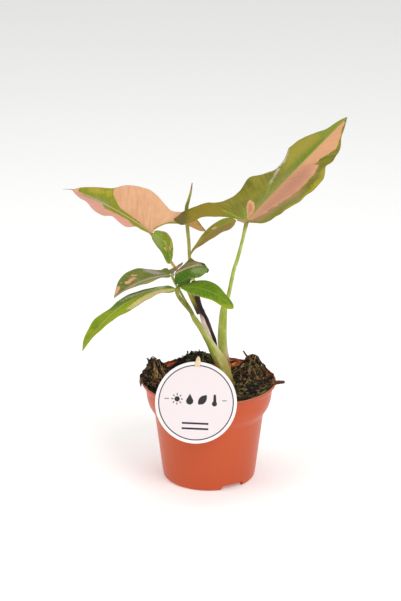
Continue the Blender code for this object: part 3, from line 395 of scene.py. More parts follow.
                (14.4, -9.9), (6.5, -11.2)]]),
            # Painted highlight: a grey-green sheen towards the tip of the right half.
            ("painted_sheen", "#8A9860", "#74883E", 2.6, 3.4, [[(19, -2.4), (26, -2.4), (31, -5), (32.6, -7.6),
                (28, -9.6), (21.4, -8.6), (17.6, -5)], [(21, -10.4), (26, -12.4), (23, -13)]]),
            ("grey", "#7A763E", "#867E56", 0.9, 1.2, [[(8, 2.6), (16, 4.4), (24, 3), (28, 1.6), (22, 1.6),
                (14, 2)]]),
            ("mauve", "#B8988C", "#A0886E", 0.6, 0.5, [[(1, 0.9), (7.2, 0.9), (14, 1.3), (19.7, 1.2),
                (26, 2.2), (24, 0), (10, -0.5), (1, -0.5)]])]),
    "front": dict(
        node="blade_front", slot="leaf_green", base=(-28.1, -22, 183.6), heading=-137, pitch=17.2, roll=0,
        bend=-55.4, length=118.5, left=(-22, 30, 0), right=(18, 25, 0), wave=(0.5, 34, 0), vein_space=7,
        tissue=("#7C9016", "#668210", "#9CA420"), rib="#A6AA5A", rim="#8C9A24",
        left_margin=[(1.6, 1.3), (4.5, 3.5), (15.6, 7.1), (24.4, 5.5), (41.4, 10.3), (58, 13.4),
            (70.1, 15.1), (82, 10.8), (94.5, 7.8), (105, 4)],
        right_margin=[(1.6, -1.3), (3.5, -3.8), (8.5, -5), (20.4, -4.3), (36.2, -5.1), (51.2, -6.7),
            (62.5, -6.5), (74.7, -5.7), (88.4, -8.3), (97.9, -7), (109.2, -4.5)],
        patches=[
            ("dark", "#4E6C1A", "#62782A", 1.4, 1.6, [[(0, -0.6), (0, -6), (30, -7), (60, -8), (82, -7),
                (70, -1.6), (30, -0.6)]]),
            # Painted highlight: a pale grey sheen on the right half beside the midrib.
            ("painted_sheen", "#8E9A6C", "#ACB092", 0.9, 1.3, [[(8, -3.2), (17, -1), (30, -0.9), (44, -1.4),
                (58, -3.2), (64, -5.8), (54, -5.4), (40, -3.2), (26, -2.6), (14, -4.4)]]),
            ("lime", "#98A414", "#8A9A1A", 2, 1.6, [[(56, 6), (76, 2), (100, 0), (118, -1), (110, 5),
                (94, 9), (84, 13), (70, 17)], [(34, 1.4), (50, 3), (60, 6), (66, 8.6), (64, 4), (50, 1)]]),
            ("cream", "#D2C488", "#BDB066", 0.8, 1, [[(4, 0.3), (16.6, 0.4), (26, 0.8), (36.8, 2),
                (48.3, 4.4), (59.8, 7.2), (68, 9.6), (66, 14), (55.6, 13), (43.2, 10.5), (29.1, 7),
                (15.1, 5.5), (5, 3)]]),
            ("blush", "#D9A98A", "#CFAE80", 0.6, 0.6, [[(6, 2), (18, 4.5), (30, 5.4), (42, 8.6), (54, 11.6),
                (54, 10.4), (42, 7.4), (30, 4.4), (18, 3.2)]])]),
    "front_leaflet": dict(
        node="blade_front_leaflet", slot="leaf_green", base=(-25.5, -21, 184.6), heading=-15, pitch=12.6,
        roll=0, bend=-112.4, length=52.7, left=(20, 20, 0), right=(-20, -20, 0), wave=(0, 30, 0),
        vein_space=5.5, tissue=("#6A8A1C", "#567A12", "#809C24"), rib="#88A038", rim="#A0A030",
        left_margin=[(0.8, 1), (5.5, 4.4), (10, 8.2), (16.2, 10.9), (22.8, 12.3), (28.3, 11.8), (35, 8.9),
            (41.3, 6), (48.2, 3.8), (51.3, 2)],
        right_margin=[(0.8, -1), (7, -6.3), (14.8, -9.7), (22.9, -10.5), (32.7, -9.1), (41.3, -8.5),
            (47.7, -6.8), (51.6, -3.2)],
        patches=[
            ("lime", "#98A41E", "#8C9C24", 1.2, 1.2, [[(45, -3), (49, 0), (54, 0), (53, -4), (48, -8),
                (41, -9.8), (30, -10.8), (18, -11.4), (18, -10), (32, -9), (42, -7)]]),
            ("flecks", "#B8B860", "#A8AE50", 0.3, 0.4, [[(20, 8.6), (21.4, 8.8), (20.6, 9.8)], [(32, -5),
                (33.4, -4.6), (32.6, -6)], [(40, -3), (41.2, -2.8), (40.4, -4)], [(14, -7), (15.2, -6.6),
                (14.4, -7.8)], [(44, 2), (45.4, 1.6), (44.6, 0.8)], [(28, 3), (29.2, 3.4), (28.4, 4.2)]])]),
    "front_lobe": dict(
        node="blade_front_lobe", slot="leaf_green", base=(-27.4, -20.2, 184), heading=55, pitch=12, roll=0,
        bend=0, length=20, left=(10, 10, 0), right=(-5, -5, 0), wave=(0, 30, 0), vein_space=4,
        tissue=("#5A7A1C", "#4A6A16", "#6C8A2A"), rib="#7C9A3A", rim="#6C8024",
        left_margin=[(1.4, 0.9), (6, 3.6), (12, 3.8), (17, 2)],
        right_margin=[(1.4, -0.9), (6, -3.8), (12, -4), (17, -2.2)],
        patches=[]),
}
# The tint that pales a leaf's underside.
UNDERSIDE = "#A3A66A"
# Dry points at leaf tips: points of the centre line with the half width and depth.
LEAF_POINTS = {
    "point_left": ([((-121.4, 74.2, 245.0), 0.6, 0.45), ((-124.7, 73.8, 246.1), 0.42, 0.35),
                    ((-129.2, 72.9, 246.6), 0.24, 0.2), ((-132.3, 72.5, 246.5), 0.1, 0.1)],
                   ("#B9A39A", "#8E7A70", "#CBB9AE")),
    "point_centre_upper": ([((-6.6, -13.6, 204.1), 0.9, 0.4), ((-4.4, -14.2, 203.4), 0.8, 0.4),
                            ((-3.2, -14.8, 201.2), 0.55, 0.35), ((-4.2, -15.2, 199.8), 0.2, 0.2)],
                           ("#3A3A22", "#2A2A1A", "#55523A")),
    "point_centre_lower": ([((-2.6, -17.6, 197.2), 0.9, 0.4), ((-1.0, -17.8, 199.4), 0.7, 0.4),
                            ((-1.6, -17.6, 201.4), 0.25, 0.2)], ("#3E4024", "#2C2E1A", "#5E5C44")),
}

# Stage, in metres: the floor's width and its height, just under the pot, what the camera and the
# lights face, and each light's name, place, size and share of the key light's power.
FLOOR_SIZE = 9.0
FLOOR_Z = -0.0003
TARGET = (-0.0077, 0.0, 0.1654)
LIGHTS = [("key", (0.8, -1.3, 1.4), 0.9, 1.0), ("fill", (-1.3, -0.5, 0.8), 0.9, 0.3),
          ("top", (-0.1, 0.3, 1.9), 1.1, 0.45)]

# The colour sockets of a Mix node.
MIX_A, MIX_B, MIX_OUT = 6, 7, 2


def linear(code):
    """A linear colour from an sRGB hex value."""
    channels = [int(code[k:k + 2], 16) / 255 for k in (1, 3, 5)]
    return [c / 12.92 if c <= 0.04045 else ((c + 0.055) / 1.055) ** 2.4 for c in channels] + [1.0]


def add_node(tree, kind, inputs=None, out=0, **settings):
    """Adds a shader node and gives one of its outputs. An input that is a socket is linked."""
    node = tree.nodes.new("ShaderNode" + kind)
    for key, value in settings.items():
        setattr(node, key, value)
    for key, value in (inputs or {}).items():
        if isinstance(value, bpy.types.NodeSocket):
            tree.links.new(value, node.inputs[key])
        else:
            node.inputs[key].default_value = value
    return node.outputs[out]


def new_material(name, **finish):
    """A Principled material with values for its sockets; gives it, its tree and its shader."""
    mat = bpy.data.materials.new(name)
    mat.use_nodes = True
    shader = mat.node_tree.nodes["Principled BSDF"]
    for key, value in finish.items():
        shader.inputs[key.replace("_", " ")].default_value = value
    return mat, mat.node_tree, shader


def tint_over(tree, colour, tint, guide, start, end, low=0.0, high=1.0, curve="SMOOTHSTEP"):
    """Lays a tint over a colour as a guide goes from start to end, with low to high cover."""
    cover = add_node(tree, "MapRange", {0: guide, 1: start, 2: end, 3: low, 4: high},
                     interpolation_type=curve)
    tint = linear(tint) if isinstance(tint, str) else tint
    return add_node(tree, "Mix", {0: cover, MIX_A: colour, MIX_B: tint}, MIX_OUT, data_type="RGBA")


def vary(tree, colour, guide, start, end, low, high):
    """Makes a colour darker and lighter by low to high times as a guide goes from start to end."""
    value = add_node(tree, "MapRange", {0: guide, 1: start, 2: end, 3: low, 4: high})
    return add_node(tree, "HueSaturation", {"Value": value, "Color": colour})


def skin(tree, shader, colour, height=None, strength=1.0, depth=0.0, gloss=None):
    """Gives a shader its colour, bumps from a height in metres, and roughness where it varies."""
    tree.links.new(colour, shader.inputs["Base Color"])
    if height:
        bump = add_node(tree, "Bump", {"Height": height, "Strength": strength, "Distance": depth})
        tree.links.new(bump, shader.inputs["Normal"])
    if gloss:
        guide, low, high, smooth, rough = gloss
        gloss = add_node(tree, "MapRange", {0: guide, 1: low, 2: high, 3: smooth, 4: rough})
        tree.links.new(gloss, shader.inputs["Roughness"])


def add_object(name, data):
    """A new object in the scene."""
    thing = bpy.data.objects.new(name, data)
    bpy.context.scene.collection.objects.link(thing)
    return thing


def in_metres(name, bm):
    """A mesh in metres, with its faces outwards, from one in millimetres."""
    bmesh.ops.recalc_face_normals(bm, faces=bm.faces)
    bmesh.ops.scale(bm, vec=(MM, MM, MM), verts=bm.verts)
    mesh = bpy.data.meshes.new(name)
    bm.to_mesh(mesh)
    bm.free()
    return mesh


def evaluated_mesh(thing):
    """The mesh of an object as its modifiers or its curve make it."""
    graph = bpy.context.evaluated_depsgraph_get()
    return bpy.data.meshes.new_from_object(thing.evaluated_get(graph))


def add_piece(name, shape, mat, nodes=(), values=None, smooth_angle=40.0):
    """Makes a piece that rides on the root body, from a bmesh in millimetres or a mesh in metres.

    The values are numbers or triples for each vertex, kept as attributes for the material.
    """
    mesh = in_metres(name, shape) if isinstance(shape, bmesh.types.BMesh) else shape
    mesh.materials.clear()
    mesh.materials.append(mat)
    mesh.shade_smooth()
    if smooth_angle:
        mesh.set_sharp_from_angle(angle=math.radians(smooth_angle))
    for key, numbers in (values or {}).items():
        numbers = np.asarray(numbers, dtype=np.float32)
        kind, field = ("FLOAT_VECTOR", "vector") if numbers.ndim == 2 else ("FLOAT", "value")
        mesh.attributes.new(key, kind, "POINT").data.foreach_set(field, numbers.ravel())
    piece = add_object(name, mesh)
    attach(piece, "root")
    if nodes:
        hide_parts(*nodes)
    return piece


def smooth_curve(points, step):
    """Points of a Catmull-Rom curve through the given ones, about a step apart.

    The first two or three numbers of a point are its place, and any more ride along.
    """
    pts = [Vector(p) for p in points]
    pts = [pts[0] * 2 - pts[1]] + pts + [pts[-1] * 2 - pts[-2]]
    out = [pts[1]]
    for p0, p1, p2, p3 in zip(pts, pts[1:], pts[2:], pts[3:]):
        count = max(1, round(Vector((p2 - p1)[:3]).length / step))
        for k in range(1, count + 1):
            t = k / count
            out.append(0.5 * (2 * p1 + (p2 - p0) * t + (2 * p0 - 5 * p1 + 4 * p2 - p3) * t ** 2
                              + (3 * p1 - p0 - 3 * p2 + p3) * t ** 3))
    return out


def everything(bm):
    """All of a mesh, as the geometry that an operator takes."""
    return bm.verts[:] + bm.edges[:] + bm.faces[:]


def extruded(bm, faces):
    """The new vertices of faces extruded in place, with the old faces kept."""
    grown = bmesh.ops.extrude_face_region(bm, geom=faces, use_keep_orig=True)
    return [v for v in grown["geom"] if isinstance(v, bmesh.types.BMVert)]


def spun(profile, steps):
    """A solid turned about Z from a profile that runs from the axis back to it."""
    bm = bmesh.new()
    verts = [bm.verts.new((r, 0.0, z)) for r, z in profile]
    edges = [bm.edges.new(pair) for pair in zip(verts, verts[1:])]
    bmesh.ops.spin(bm, geom=verts + edges, cent=(0, 0, 0), axis=(0, 0, 1),
                   angle=math.tau, steps=steps, use_merge=True)
    bmesh.ops.remove_doubles(bm, verts=bm.verts, dist=0.001)
    return bm


def tube(stations, sides, step, swell=None):
    """A closed oval tube along a smooth line; its straight layer is each vertex's place on the
    tube laid straight.

    The swell takes the angle round the tube and the distance along it, and scales the radius.
    """
    line = smooth_curve([(*place, across, deep) for place, across, deep in stations], step)
    places = [Vector(p[:3]) for p in line]
    reach = [0.0]
    for a, b in zip(places, places[1:]):
        reach.append(reach[-1] + (b - a).length)
    bm = bmesh.new()
    bmesh.ops.create_cone(bm, cap_ends=True, segments=sides, radius1=1.0, radius2=1.0, depth=1.0)
    upright = [e for e in bm.edges if abs(e.verts[0].co.z - e.verts[1].co.z) > 0.5]
    bmesh.ops.subdivide_edges(bm, edges=upright, cuts=len(line) - 2, use_grid_fill=True)
    layer = bm.verts.layers.float_vector.new("straight")
    for v in bm.verts:
        i = round((v.co.z + 0.5) * (len(line) - 1))
        along = (places[min(i + 1, len(line) - 1)] - places[max(i - 1, 0)]).normalized()
        side = along.cross(Vector((0, 1, 0))).normalized()
        back = side.cross(along)
        scale = swell(math.atan2(v.co.y, v.co.x), reach[i]) if swell else 1.0
        x, y = v.co.x * line[i][3] * scale, v.co.y * line[i][4] * scale
        v[layer] = (x, y, reach[i])
        v.co = places[i] + side * x + back * y
    return bm


def seat_under(bm, leaf):
    """Trims a petiole's end inside both halves of the blade that it carries."""
    blade = Blade(leaf)
    for s in (0.5, -0.5):
        cut = bmesh.ops.bisect_plane(bm, geom=everything(bm), plane_co=blade.point(0.5, 0.0),
                                     plane_no=blade.normal(0.5, s), clear_outer=True)
        edges = [e for e in cut["geom_cut"] if isinstance(e, bmesh.types.BMEdge)]
        bmesh.ops.contextual_create(bm, geom=edges)
    return bm


class Blade:
    """A leaf blade bent along its midrib, with each half folded and curled."""

    def __init__(self, data):
        self.data = data
        heading, pitch, roll = (math.radians(data[key]) for key in ("heading", "pitch", "roll"))
        self.base = Vector(data["base"])
        self.ahead = Vector((math.cos(pitch) * math.cos(heading),
                             math.cos(pitch) * math.sin(heading), math.sin(pitch)))
        level = Vector((-math.sin(heading), math.cos(heading), 0.0))
        up = self.ahead.cross(level)
        self.left = level * math.cos(roll) + up * math.sin(roll)
        self.up = up * math.cos(roll) - level * math.sin(roll)
        self.turn = math.radians(data["bend"]) / 100.0 or 1e-9

    def point(self, u, s):
        """The place of a point u along the midrib and s across it, left of it positive."""
        turned = self.turn * u
        spine = (self.base + self.ahead * math.sin(turned) / self.turn
                 + self.up * (1.0 - math.cos(turned)) / self.turn)
        normal = self.up * math.cos(turned) - self.ahead * math.sin(turned)
        fold_base, fold_tip, curl = self.data["left" if s >= 0 else "right"]
        along = min(max(u / self.data["length"], 0.0), 1.0)
        fold = math.radians(fold_base + (fold_tip - fold_base) * along)
        rate = math.radians(curl) / 100.0 or 1e-9
        far = abs(s)
        across = (math.sin(fold + rate * far) - math.sin(fold)) / rate
        lift = (math.cos(fold) - math.cos(fold + rate * far)) / rate
        height, period, phase = self.data["wave"]
        phase += u / period + (0.5 if s < 0 else 0.0)
        lift += height * math.sin(math.tau * phase) * min(far / WAVE_REACH, WAVE_LIMIT) ** 2
        return spine + self.left * math.copysign(across, s) + normal * lift

    def normal(self, u, s):
        """The unit normal of the upper face; on the midrib, the mean of its halves."""
        step = 0.05
        sides = (s,) if abs(s) > step else (2 * step, -2 * step)
        total = Vector((0, 0, 0))
        for side in sides:
            along = self.point(u + step, side) - self.point(u - step, side)
            across = self.point(u, side + step) - self.point(u, side - step)
            total += along.cross(across).normalized()
        return total.normalized()


def depth_inside(points, outline):
    """How far flat points lie inside a closed outline; outside it is negative."""
    p = points[:, None, :]
    a = np.array([tuple(q[:2]) for q in outline])[None, :, :]
    side = np.roll(a, -1, axis=1) - a
    t = np.clip(((p - a) * side).sum(2) / np.maximum((side ** 2).sum(2), 1e-9), 0, 1)
    distance = np.linalg.norm(p - a - side * t[..., None], axis=2).min(1)
    rise = np.where(np.abs(side[..., 1]) < 1e-9, 1e-9, side[..., 1])
    crossing = (a[..., 1] > p[..., 1]) != (a[..., 1] + side[..., 1] > p[..., 1])
    reach = a[..., 0] + (p[..., 1] - a[..., 1]) * side[..., 0] / rise
    inside = (crossing & (p[..., 0] < reach)).sum(1) % 2 == 1
    return np.where(inside, distance, -distance)


def vein_number(u, s, space):
    """Which vein a flat point lies on: whole numbers are veins, which lean from the midrib
    towards the tip and fan out from its base into the lobes."""
    spread = abs(s)
    ahead = u - VEIN_LEAN * spread + VEIN_CURVE * spread ** 2
    if ahead > 0:
        number = ahead / space
    else:
        number = -(math.atan2(spread, u) - math.atan2(1.0, VEIN_LEAN)) / VEIN_FAN
    return number + (0.5 if s < 0 else 0.0)


def leaf_mesh(leaf, cell, thickness, vein_depth):
    """A leaf as a thin closed solid with sunken veins, a keel under its midrib, a thin waved
    margin and its attributes."""
    tip = (leaf["length"], 0.0)
    start = (min(leaf["left_margin"][0][0], leaf["right_margin"][0][0]), 0.0)
    left = smooth_curve([*leaf["left_margin"], tip], cell)
    right = smooth_curve([*leaf["right_margin"], tip], cell)
    outline = [Vector(start)] + right + left[-2::-1]
    bm = bmesh.new()
    bm.faces.new([bm.verts.new((p.x, p.y, 0.0)) for p in outline])
    for axis, normal in ((0, (1, 0, 0)), (1, (0, 1, 0))):
        low, high = min(p[axis] for p in outline), max(p[axis] for p in outline)
        for k in range(math.ceil(low / cell), math.floor(high / cell) + 1):
            bmesh.ops.bisect_plane(bm, geom=everything(bm), dist=1e-4, plane_no=normal,
                                   plane_co=Vector(normal) * k * cell)
    bmesh.ops.remove_doubles(bm, verts=bm.verts, dist=0.08 * cell)
    bmesh.ops.triangulate(bm, faces=[f for f in bm.faces if len(f.verts) > 4])
    for v in extruded(bm, bm.faces[:]):
        v.co.z = 1.0
    flat = np.array([v.co[:] for v in bm.verts])
    edge = np.maximum(depth_inside(flat[:, :2], outline), 0.0)
    veins = [vein_number(u, s, leaf["vein_space"]) for u, s, _ in flat]
    blade = Blade(leaf)
    for v, (u, s, upper), inset, vein in zip(bm.verts, flat, edge, veins):
        off_vein = abs(vein - round(vein)) * 2.0
        full = min(inset / VEIN_FROM_MARGIN, 1.0) * min(abs(s) / VEIN_FROM_RIB, 1.0)
        relief = vein_depth * full * (
            0.5 - math.exp(-(off_vein / VEIN_WIDTH) ** 2) - 0.5 * (1.0 - off_vein) ** 2)
        relief -= RIB_DEPTH * vein_depth * math.exp(-(s / RIB_WIDTH) ** 2)
        ripple = math.sin(u * 0.43 + math.sin(s * 0.3))
        relief += MARGIN_WAVE * ripple * math.exp(-inset / MARGIN_REACH)
        body = thickness * (RIM_SHARE + (1.0 - RIM_SHARE) * min(inset / RIM_WIDTH, 1.0))
        keel = 0.0
        if upper < 0.5:
            run = 1.0 - min(max(u / leaf["length"], 0.0), 1.0)
            keel = KEEL_HEIGHT * run * math.exp(-(s / KEEL_WIDTH) ** 2) * min(inset / 1.5, 1.0)
        v.co = blade.point(u, s) + blade.normal(u, s) * (relief + (upper - 0.5) * body - keel)
    values = {"flat": flat, "edge": edge, "vein": veins}
    for name, _, _, _, _, outlines in leaf["patches"]:
        values[name] = np.max([depth_inside(flat[:, :2], o) for o in outlines], axis=0)
    return bm, values


def leaf_material(name, leaf):
    """Living leaf: a thin waxy skin over moist cells, so it is satin, mottled along its veins, with
    crisp-edged pigment-free patches, and pale patches of painted sheen that stand for highlights."""
    mat, tree, shader = new_material(name, Roughness=0.42, IOR=1.42, Specular_IOR_Level=0.2,
                                     Subsurface_Weight=0.06,
                                     Subsurface_Radius=(0.0012, 0.0010, 0.0003))
    flat = add_node(tree, "Attribute", out="Vector", attribute_name="flat")
    vein = add_node(tree, "Attribute", out="Fac", attribute_name="vein")
    edge = add_node(tree, "Attribute", out="Fac", attribute_name="edge")
    axes = add_node(tree, "SeparateXYZ", {0: flat}).node.outputs
    across = add_node(tree, "Math", {0: vein, 1: 3.0}, operation="MULTIPLY")
    outward = add_node(tree, "Math", {0: axes["Y"], 1: 0.07}, operation="MULTIPLY")
    woven = add_node(tree, "CombineXYZ", {0: across, 1: outward})
    streak = add_node(tree, "TexNoise", {"Vector": woven, "Scale": 1.0, "Detail": 4.0})
    broad = add_node(tree, "TexNoise", {"Vector": flat, "Scale": 0.06, "Detail": 3.0})
    cells = add_node(tree, "TexNoise", {"Vector": flat, "Scale": 1.1, "Detail": 3.0})
    fray = add_node(tree, "TexNoise", {"Vector": flat, "Scale": 0.45, "Detail": 4.0,
                                       "Roughness": 0.7})
    main, deep, light = leaf["tissue"]
    colour = tint_over(tree, linear(main), deep, broad, 0.42, 0.62)
    colour = tint_over(tree, colour, light, streak, 0.45, 0.72, 0.0, 0.75, "LINEAR")
    # Each patch is a tint of the leaf's own, except the pale sheen patches, which are painted highlights.
    for patch, first, second, soft, ragged, _ in leaf["patches"]:
        inset = add_node(tree, "Attribute", out="Fac", attribute_name=patch)
        frayed = add_node(tree, "Math", {0: fray, 1: 4 * ragged, 2: inset},
                          operation="MULTIPLY_ADD")
        tint = add_node(tree, "Mix", {0: streak, MIX_A: linear(first), MIX_B: linear(second)},
                        MIX_OUT, data_type="RGBA")
        colour = tint_over(tree, colour, tint, frayed, 2 * ragged - soft, 2 * ragged + soft)
    off_vein = add_node(tree, "Math", {0: vein, 1: 0.5}, operation="PINGPONG")
    off_rib = add_node(tree, "Math", {0: axes["Y"]}, operation="ABSOLUTE")
    colour = tint_over(tree, colour, leaf["rib"], off_vein, 0.0, 0.07, 0.13, 0.0)
    colour = tint_over(tree, colour, leaf["rib"], off_rib, 0.3, 1.0, 0.7, 0.0)
    colour = tint_over(tree, colour, leaf["rim"], edge, 0.1, 0.8, 0.75, 0.0)
    colour = tint_over(tree, colour, UNDERSIDE, axes["Z"], 0.0, 1.0, 0.5, 0.0, "LINEAR")
    colour = vary(tree, colour, cells, 0.3, 0.7, 0.93, 1.07)
    net = add_node(tree, "TexVoronoi", {"Vector": flat, "Scale": 0.5}, feature="DISTANCE_TO_EDGE")
    net = add_node(tree, "MapRange", {0: net, 1: 0.0, 2: 0.16}, interpolation_type="SMOOTHSTEP")
    height = add_node(tree, "Math", {0: cells, 1: 0.8, 2: net}, operation="MULTIPLY_ADD")
    skin(tree, shader, colour, height, 0.35, 0.0001, (cells, 0.3, 0.7, 0.36, 0.5))
    return mat


def stem_material(name, main, deep, light, bands=(), roughness=0.42):
    """Living stem: a smooth waxy skin over fibres that run along it. Sawn wood and twig bark have
    the same fibres and are rougher. A band is a tint that fades in and out between two distances
    along the stem, on one side of it or all round."""
    mat, tree, shader = new_material(name, Roughness=roughness, IOR=1.42, Specular_IOR_Level=0.25)
    straight = add_node(tree, "Attribute", out="Vector", attribute_name="straight")
    drawn = add_node(tree, "Mapping", {"Vector": straight, "Scale": (2.0, 2.0, 0.05)})
    fibre = add_node(tree, "TexNoise", {"Vector": drawn, "Scale": 1.0, "Detail": 4.0})
    broad = add_node(tree, "TexNoise", {"Vector": straight, "Scale": 0.12, "Detail": 3.0})
    axes = add_node(tree, "SeparateXYZ", {0: straight}).node.outputs
    colour = tint_over(tree, linear(deep), main, fibre, 0.38, 0.62, curve="LINEAR")
    colour = tint_over(tree, colour, light, broad, 0.45, 0.7, curve="LINEAR")
    for tint, start, end, fade, side in bands:
        limits = [(axes["Z"], start - fade, start + fade, 0.0, 1.0),
                  (axes["Z"], end - fade, end + fade, 1.0, 0.0)]
        if side:
            limits.append((axes["X"], side * 0.2, side * 3.0, 0.0, 1.0))
        cover = add_node(tree, "MapRange", {0: fibre, 1: 0.25, 2: 0.55, 3: 0.45, 4: 1.0})
        for limit in limits:
            part = add_node(tree, "MapRange", dict(enumerate(limit)),
                            interpolation_type="SMOOTHSTEP")
            cover = add_node(tree, "Math", {0: cover, 1: part}, operation="MULTIPLY")
        colour = tint_over(tree, colour, tint, cover, 0.0, 1.0, curve="LINEAR")
    skin(tree, shader, colour, fibre, 0.4, 0.0002)
    return mat


def earth_material(name, tints, scale, roughness=0.9):
    """Peat, fibre or bark: dry plant matter, so it is matt and mottled, with a rough grain. Its
    tints run from the darkest to the lightest."""
    mat, tree, shader = new_material(name, Roughness=roughness, Specular_IOR_Level=0.3)
    where = add_node(tree, "TexCoord", out="Object")
    grain = add_node(tree, "TexNoise", {"Vector": where, "Scale": scale / MM, "Detail": 6.0,
                                        "Roughness": 0.7})
    colour = linear(tints[0])
    for k, tint in enumerate(tints[1:]):
        colour = tint_over(tree, colour, tint, grain, 0.45 + 0.09 * k, 0.56 + 0.09 * k)
    skin(tree, shader, colour, grain, 0.8, 0.0006)
    return mat


def pot_material(colour):
    """Polypropylene, injection moulded: satin, evenly coloured through, with faint flow marks round it,
    fine handling scuffs, mottled darker towards its lip, and a painted highlight along the lip's top edge."""
    mat, tree, shader = new_material("polypropylene, moulded", Roughness=0.33, IOR=1.49,
                                     Specular_IOR_Level=0.22)
    where = add_node(tree, "TexCoord", out="Object")
    flow = add_node(tree, "Mapping", {"Vector": where, "Scale": (1.0, 1.0, 0.3)})
    flow = add_node(tree, "TexNoise", {"Vector": flow, "Scale": 0.03 / MM, "Detail": 4.0})
    scuff = add_node(tree, "TexNoise", {"Vector": where, "Scale": 1.2 / MM, "Detail": 5.0,
                                        "Roughness": 0.65})
    height = add_node(tree, "SeparateXYZ", {0: where}).node.outputs["Z"]
    tinted = vary(tree, colour, flow, 0.3, 0.7, 0.98, 1.02)
    # Mottled darker from the upper band up to the lip.
    darker_to_lip = add_node(tree, "MapRange", {0: height, 1: 84 * MM, 2: 91 * MM, 3: 0.0, 4: 0.35})
    darker_to_lip = add_node(tree, "Math", {0: darker_to_lip, 1: scuff}, operation="MULTIPLY")
    tinted = tint_over(tree, tinted, "#8A4A34", darker_to_lip, 0.0, 1.0, curve="LINEAR")
    # Painted highlight: a pale line along the top edge of the lip.
    tinted = tint_over(tree, tinted, "#E8B09A", height, 89.9 * MM, 90.5 * MM, 0.0, 0.3, "LINEAR")
    skin(tree, shader, tinted, scuff, 0.12, 0.0001, (scuff, 0.35, 0.65, 0.28, 0.38))
    return mat


def wall_radius(z):
    """The radius of the pot's inner wall at a height."""
    side = POT_BODY[1:] + POT_BAND
    for (r0, z0), (r1, z1) in zip(side, side[1:]):
        if z0 <= z <= z1:
            return r0 + (r1 - r0) * (z - z0) / (z1 - z0) - POT_WALL
    return POT_TOP_R - POT_WALL


def rounded_box(size, rounding, matrix):
    """A box with rounded edges, placed by a matrix."""
    bm = bmesh.new()
    bmesh.ops.create_cube(bm, size=1.0, matrix=Matrix.Diagonal((*size, 1.0)))
    bmesh.ops.bevel(bm, geom=bm.edges[:], offset=rounding, offset_type="OFFSET", segments=4,
                    profile=0.5, affect="EDGES", material=-1)
    bmesh.ops.transform(bm, matrix=matrix, verts=bm.verts)
    return bm


def cut(piece, cutters):
    """Cuts the meshes in millimetres out of a piece."""
    tools = []
    for bm in cutters:
        tool = add_object("cutter", in_metres("cutter", bm))
        modifier = piece.modifiers.new("cut", "BOOLEAN")
        modifier.operation = "DIFFERENCE"
        modifier.object = tool
        tools.append(tool)
    mesh = evaluated_mesh(piece)
    piece.modifiers.clear()
    piece.data = mesh
    for tool in tools:
        bpy.data.objects.remove(tool)


def ground_phases():
    """The seeded phases of the soil's lumps."""
    rng = random.Random(SOIL_SEED)
    return [rng.uniform(0, math.tau) for _ in range(LUMP_WAVES)]


PHASES = ground_phases()


def ground(x, y):
    """The height of the soil's top: a level, its mounds and lumps, and crumbly relief."""
    z = SOIL_LEVEL
    for (mx, my), height, spread in MOUNDS:
        z += height * math.exp(-((x - mx) ** 2 + (y - my) ** 2) / (2 * spread ** 2))
    for k, phase in enumerate(PHASES):
        turn = math.radians(LUMP_TURN) * k
        wave = (x * math.cos(turn) + y * math.sin(turn)) / (LUMP_SIZE + LUMP_GROWTH * k)
        z += LUMP_HEIGHT * math.sin(wave + phase)
    return z + CRUMB_HEIGHT * noise.fractal(Vector((x, y, 0)) / CRUMB_SIZE, 0.9, 2.0, 4)


def surface(x, y):
    """The height of the soil, and past its edge of the spill from it over the pot's lip."""
    out = math.hypot(x, y)
    inward = min(1.0, (SOIL_R - 1.0) / max(out, 1.0))
    edge = ground(x * inward, y * inward)
    lip = POT_HEIGHT + SPILL_LIFT - SPILL_FALL * max(out - POT_TOP_R, 0.0)
    over = min(max((out - SOIL_R + 1.0) / SPILL_WIDTH, 0.0), 1.0)
    return edge + (lip - edge) * over


def at_chip(x, y):
    """Whether a place is on the chip of bark or just in front of it."""
    beside, ahead, behind = CHIP_ROOM
    return abs(x - CHIP_PLACE[0]) < beside and -ahead < y - CHIP_PLACE[1] < behind


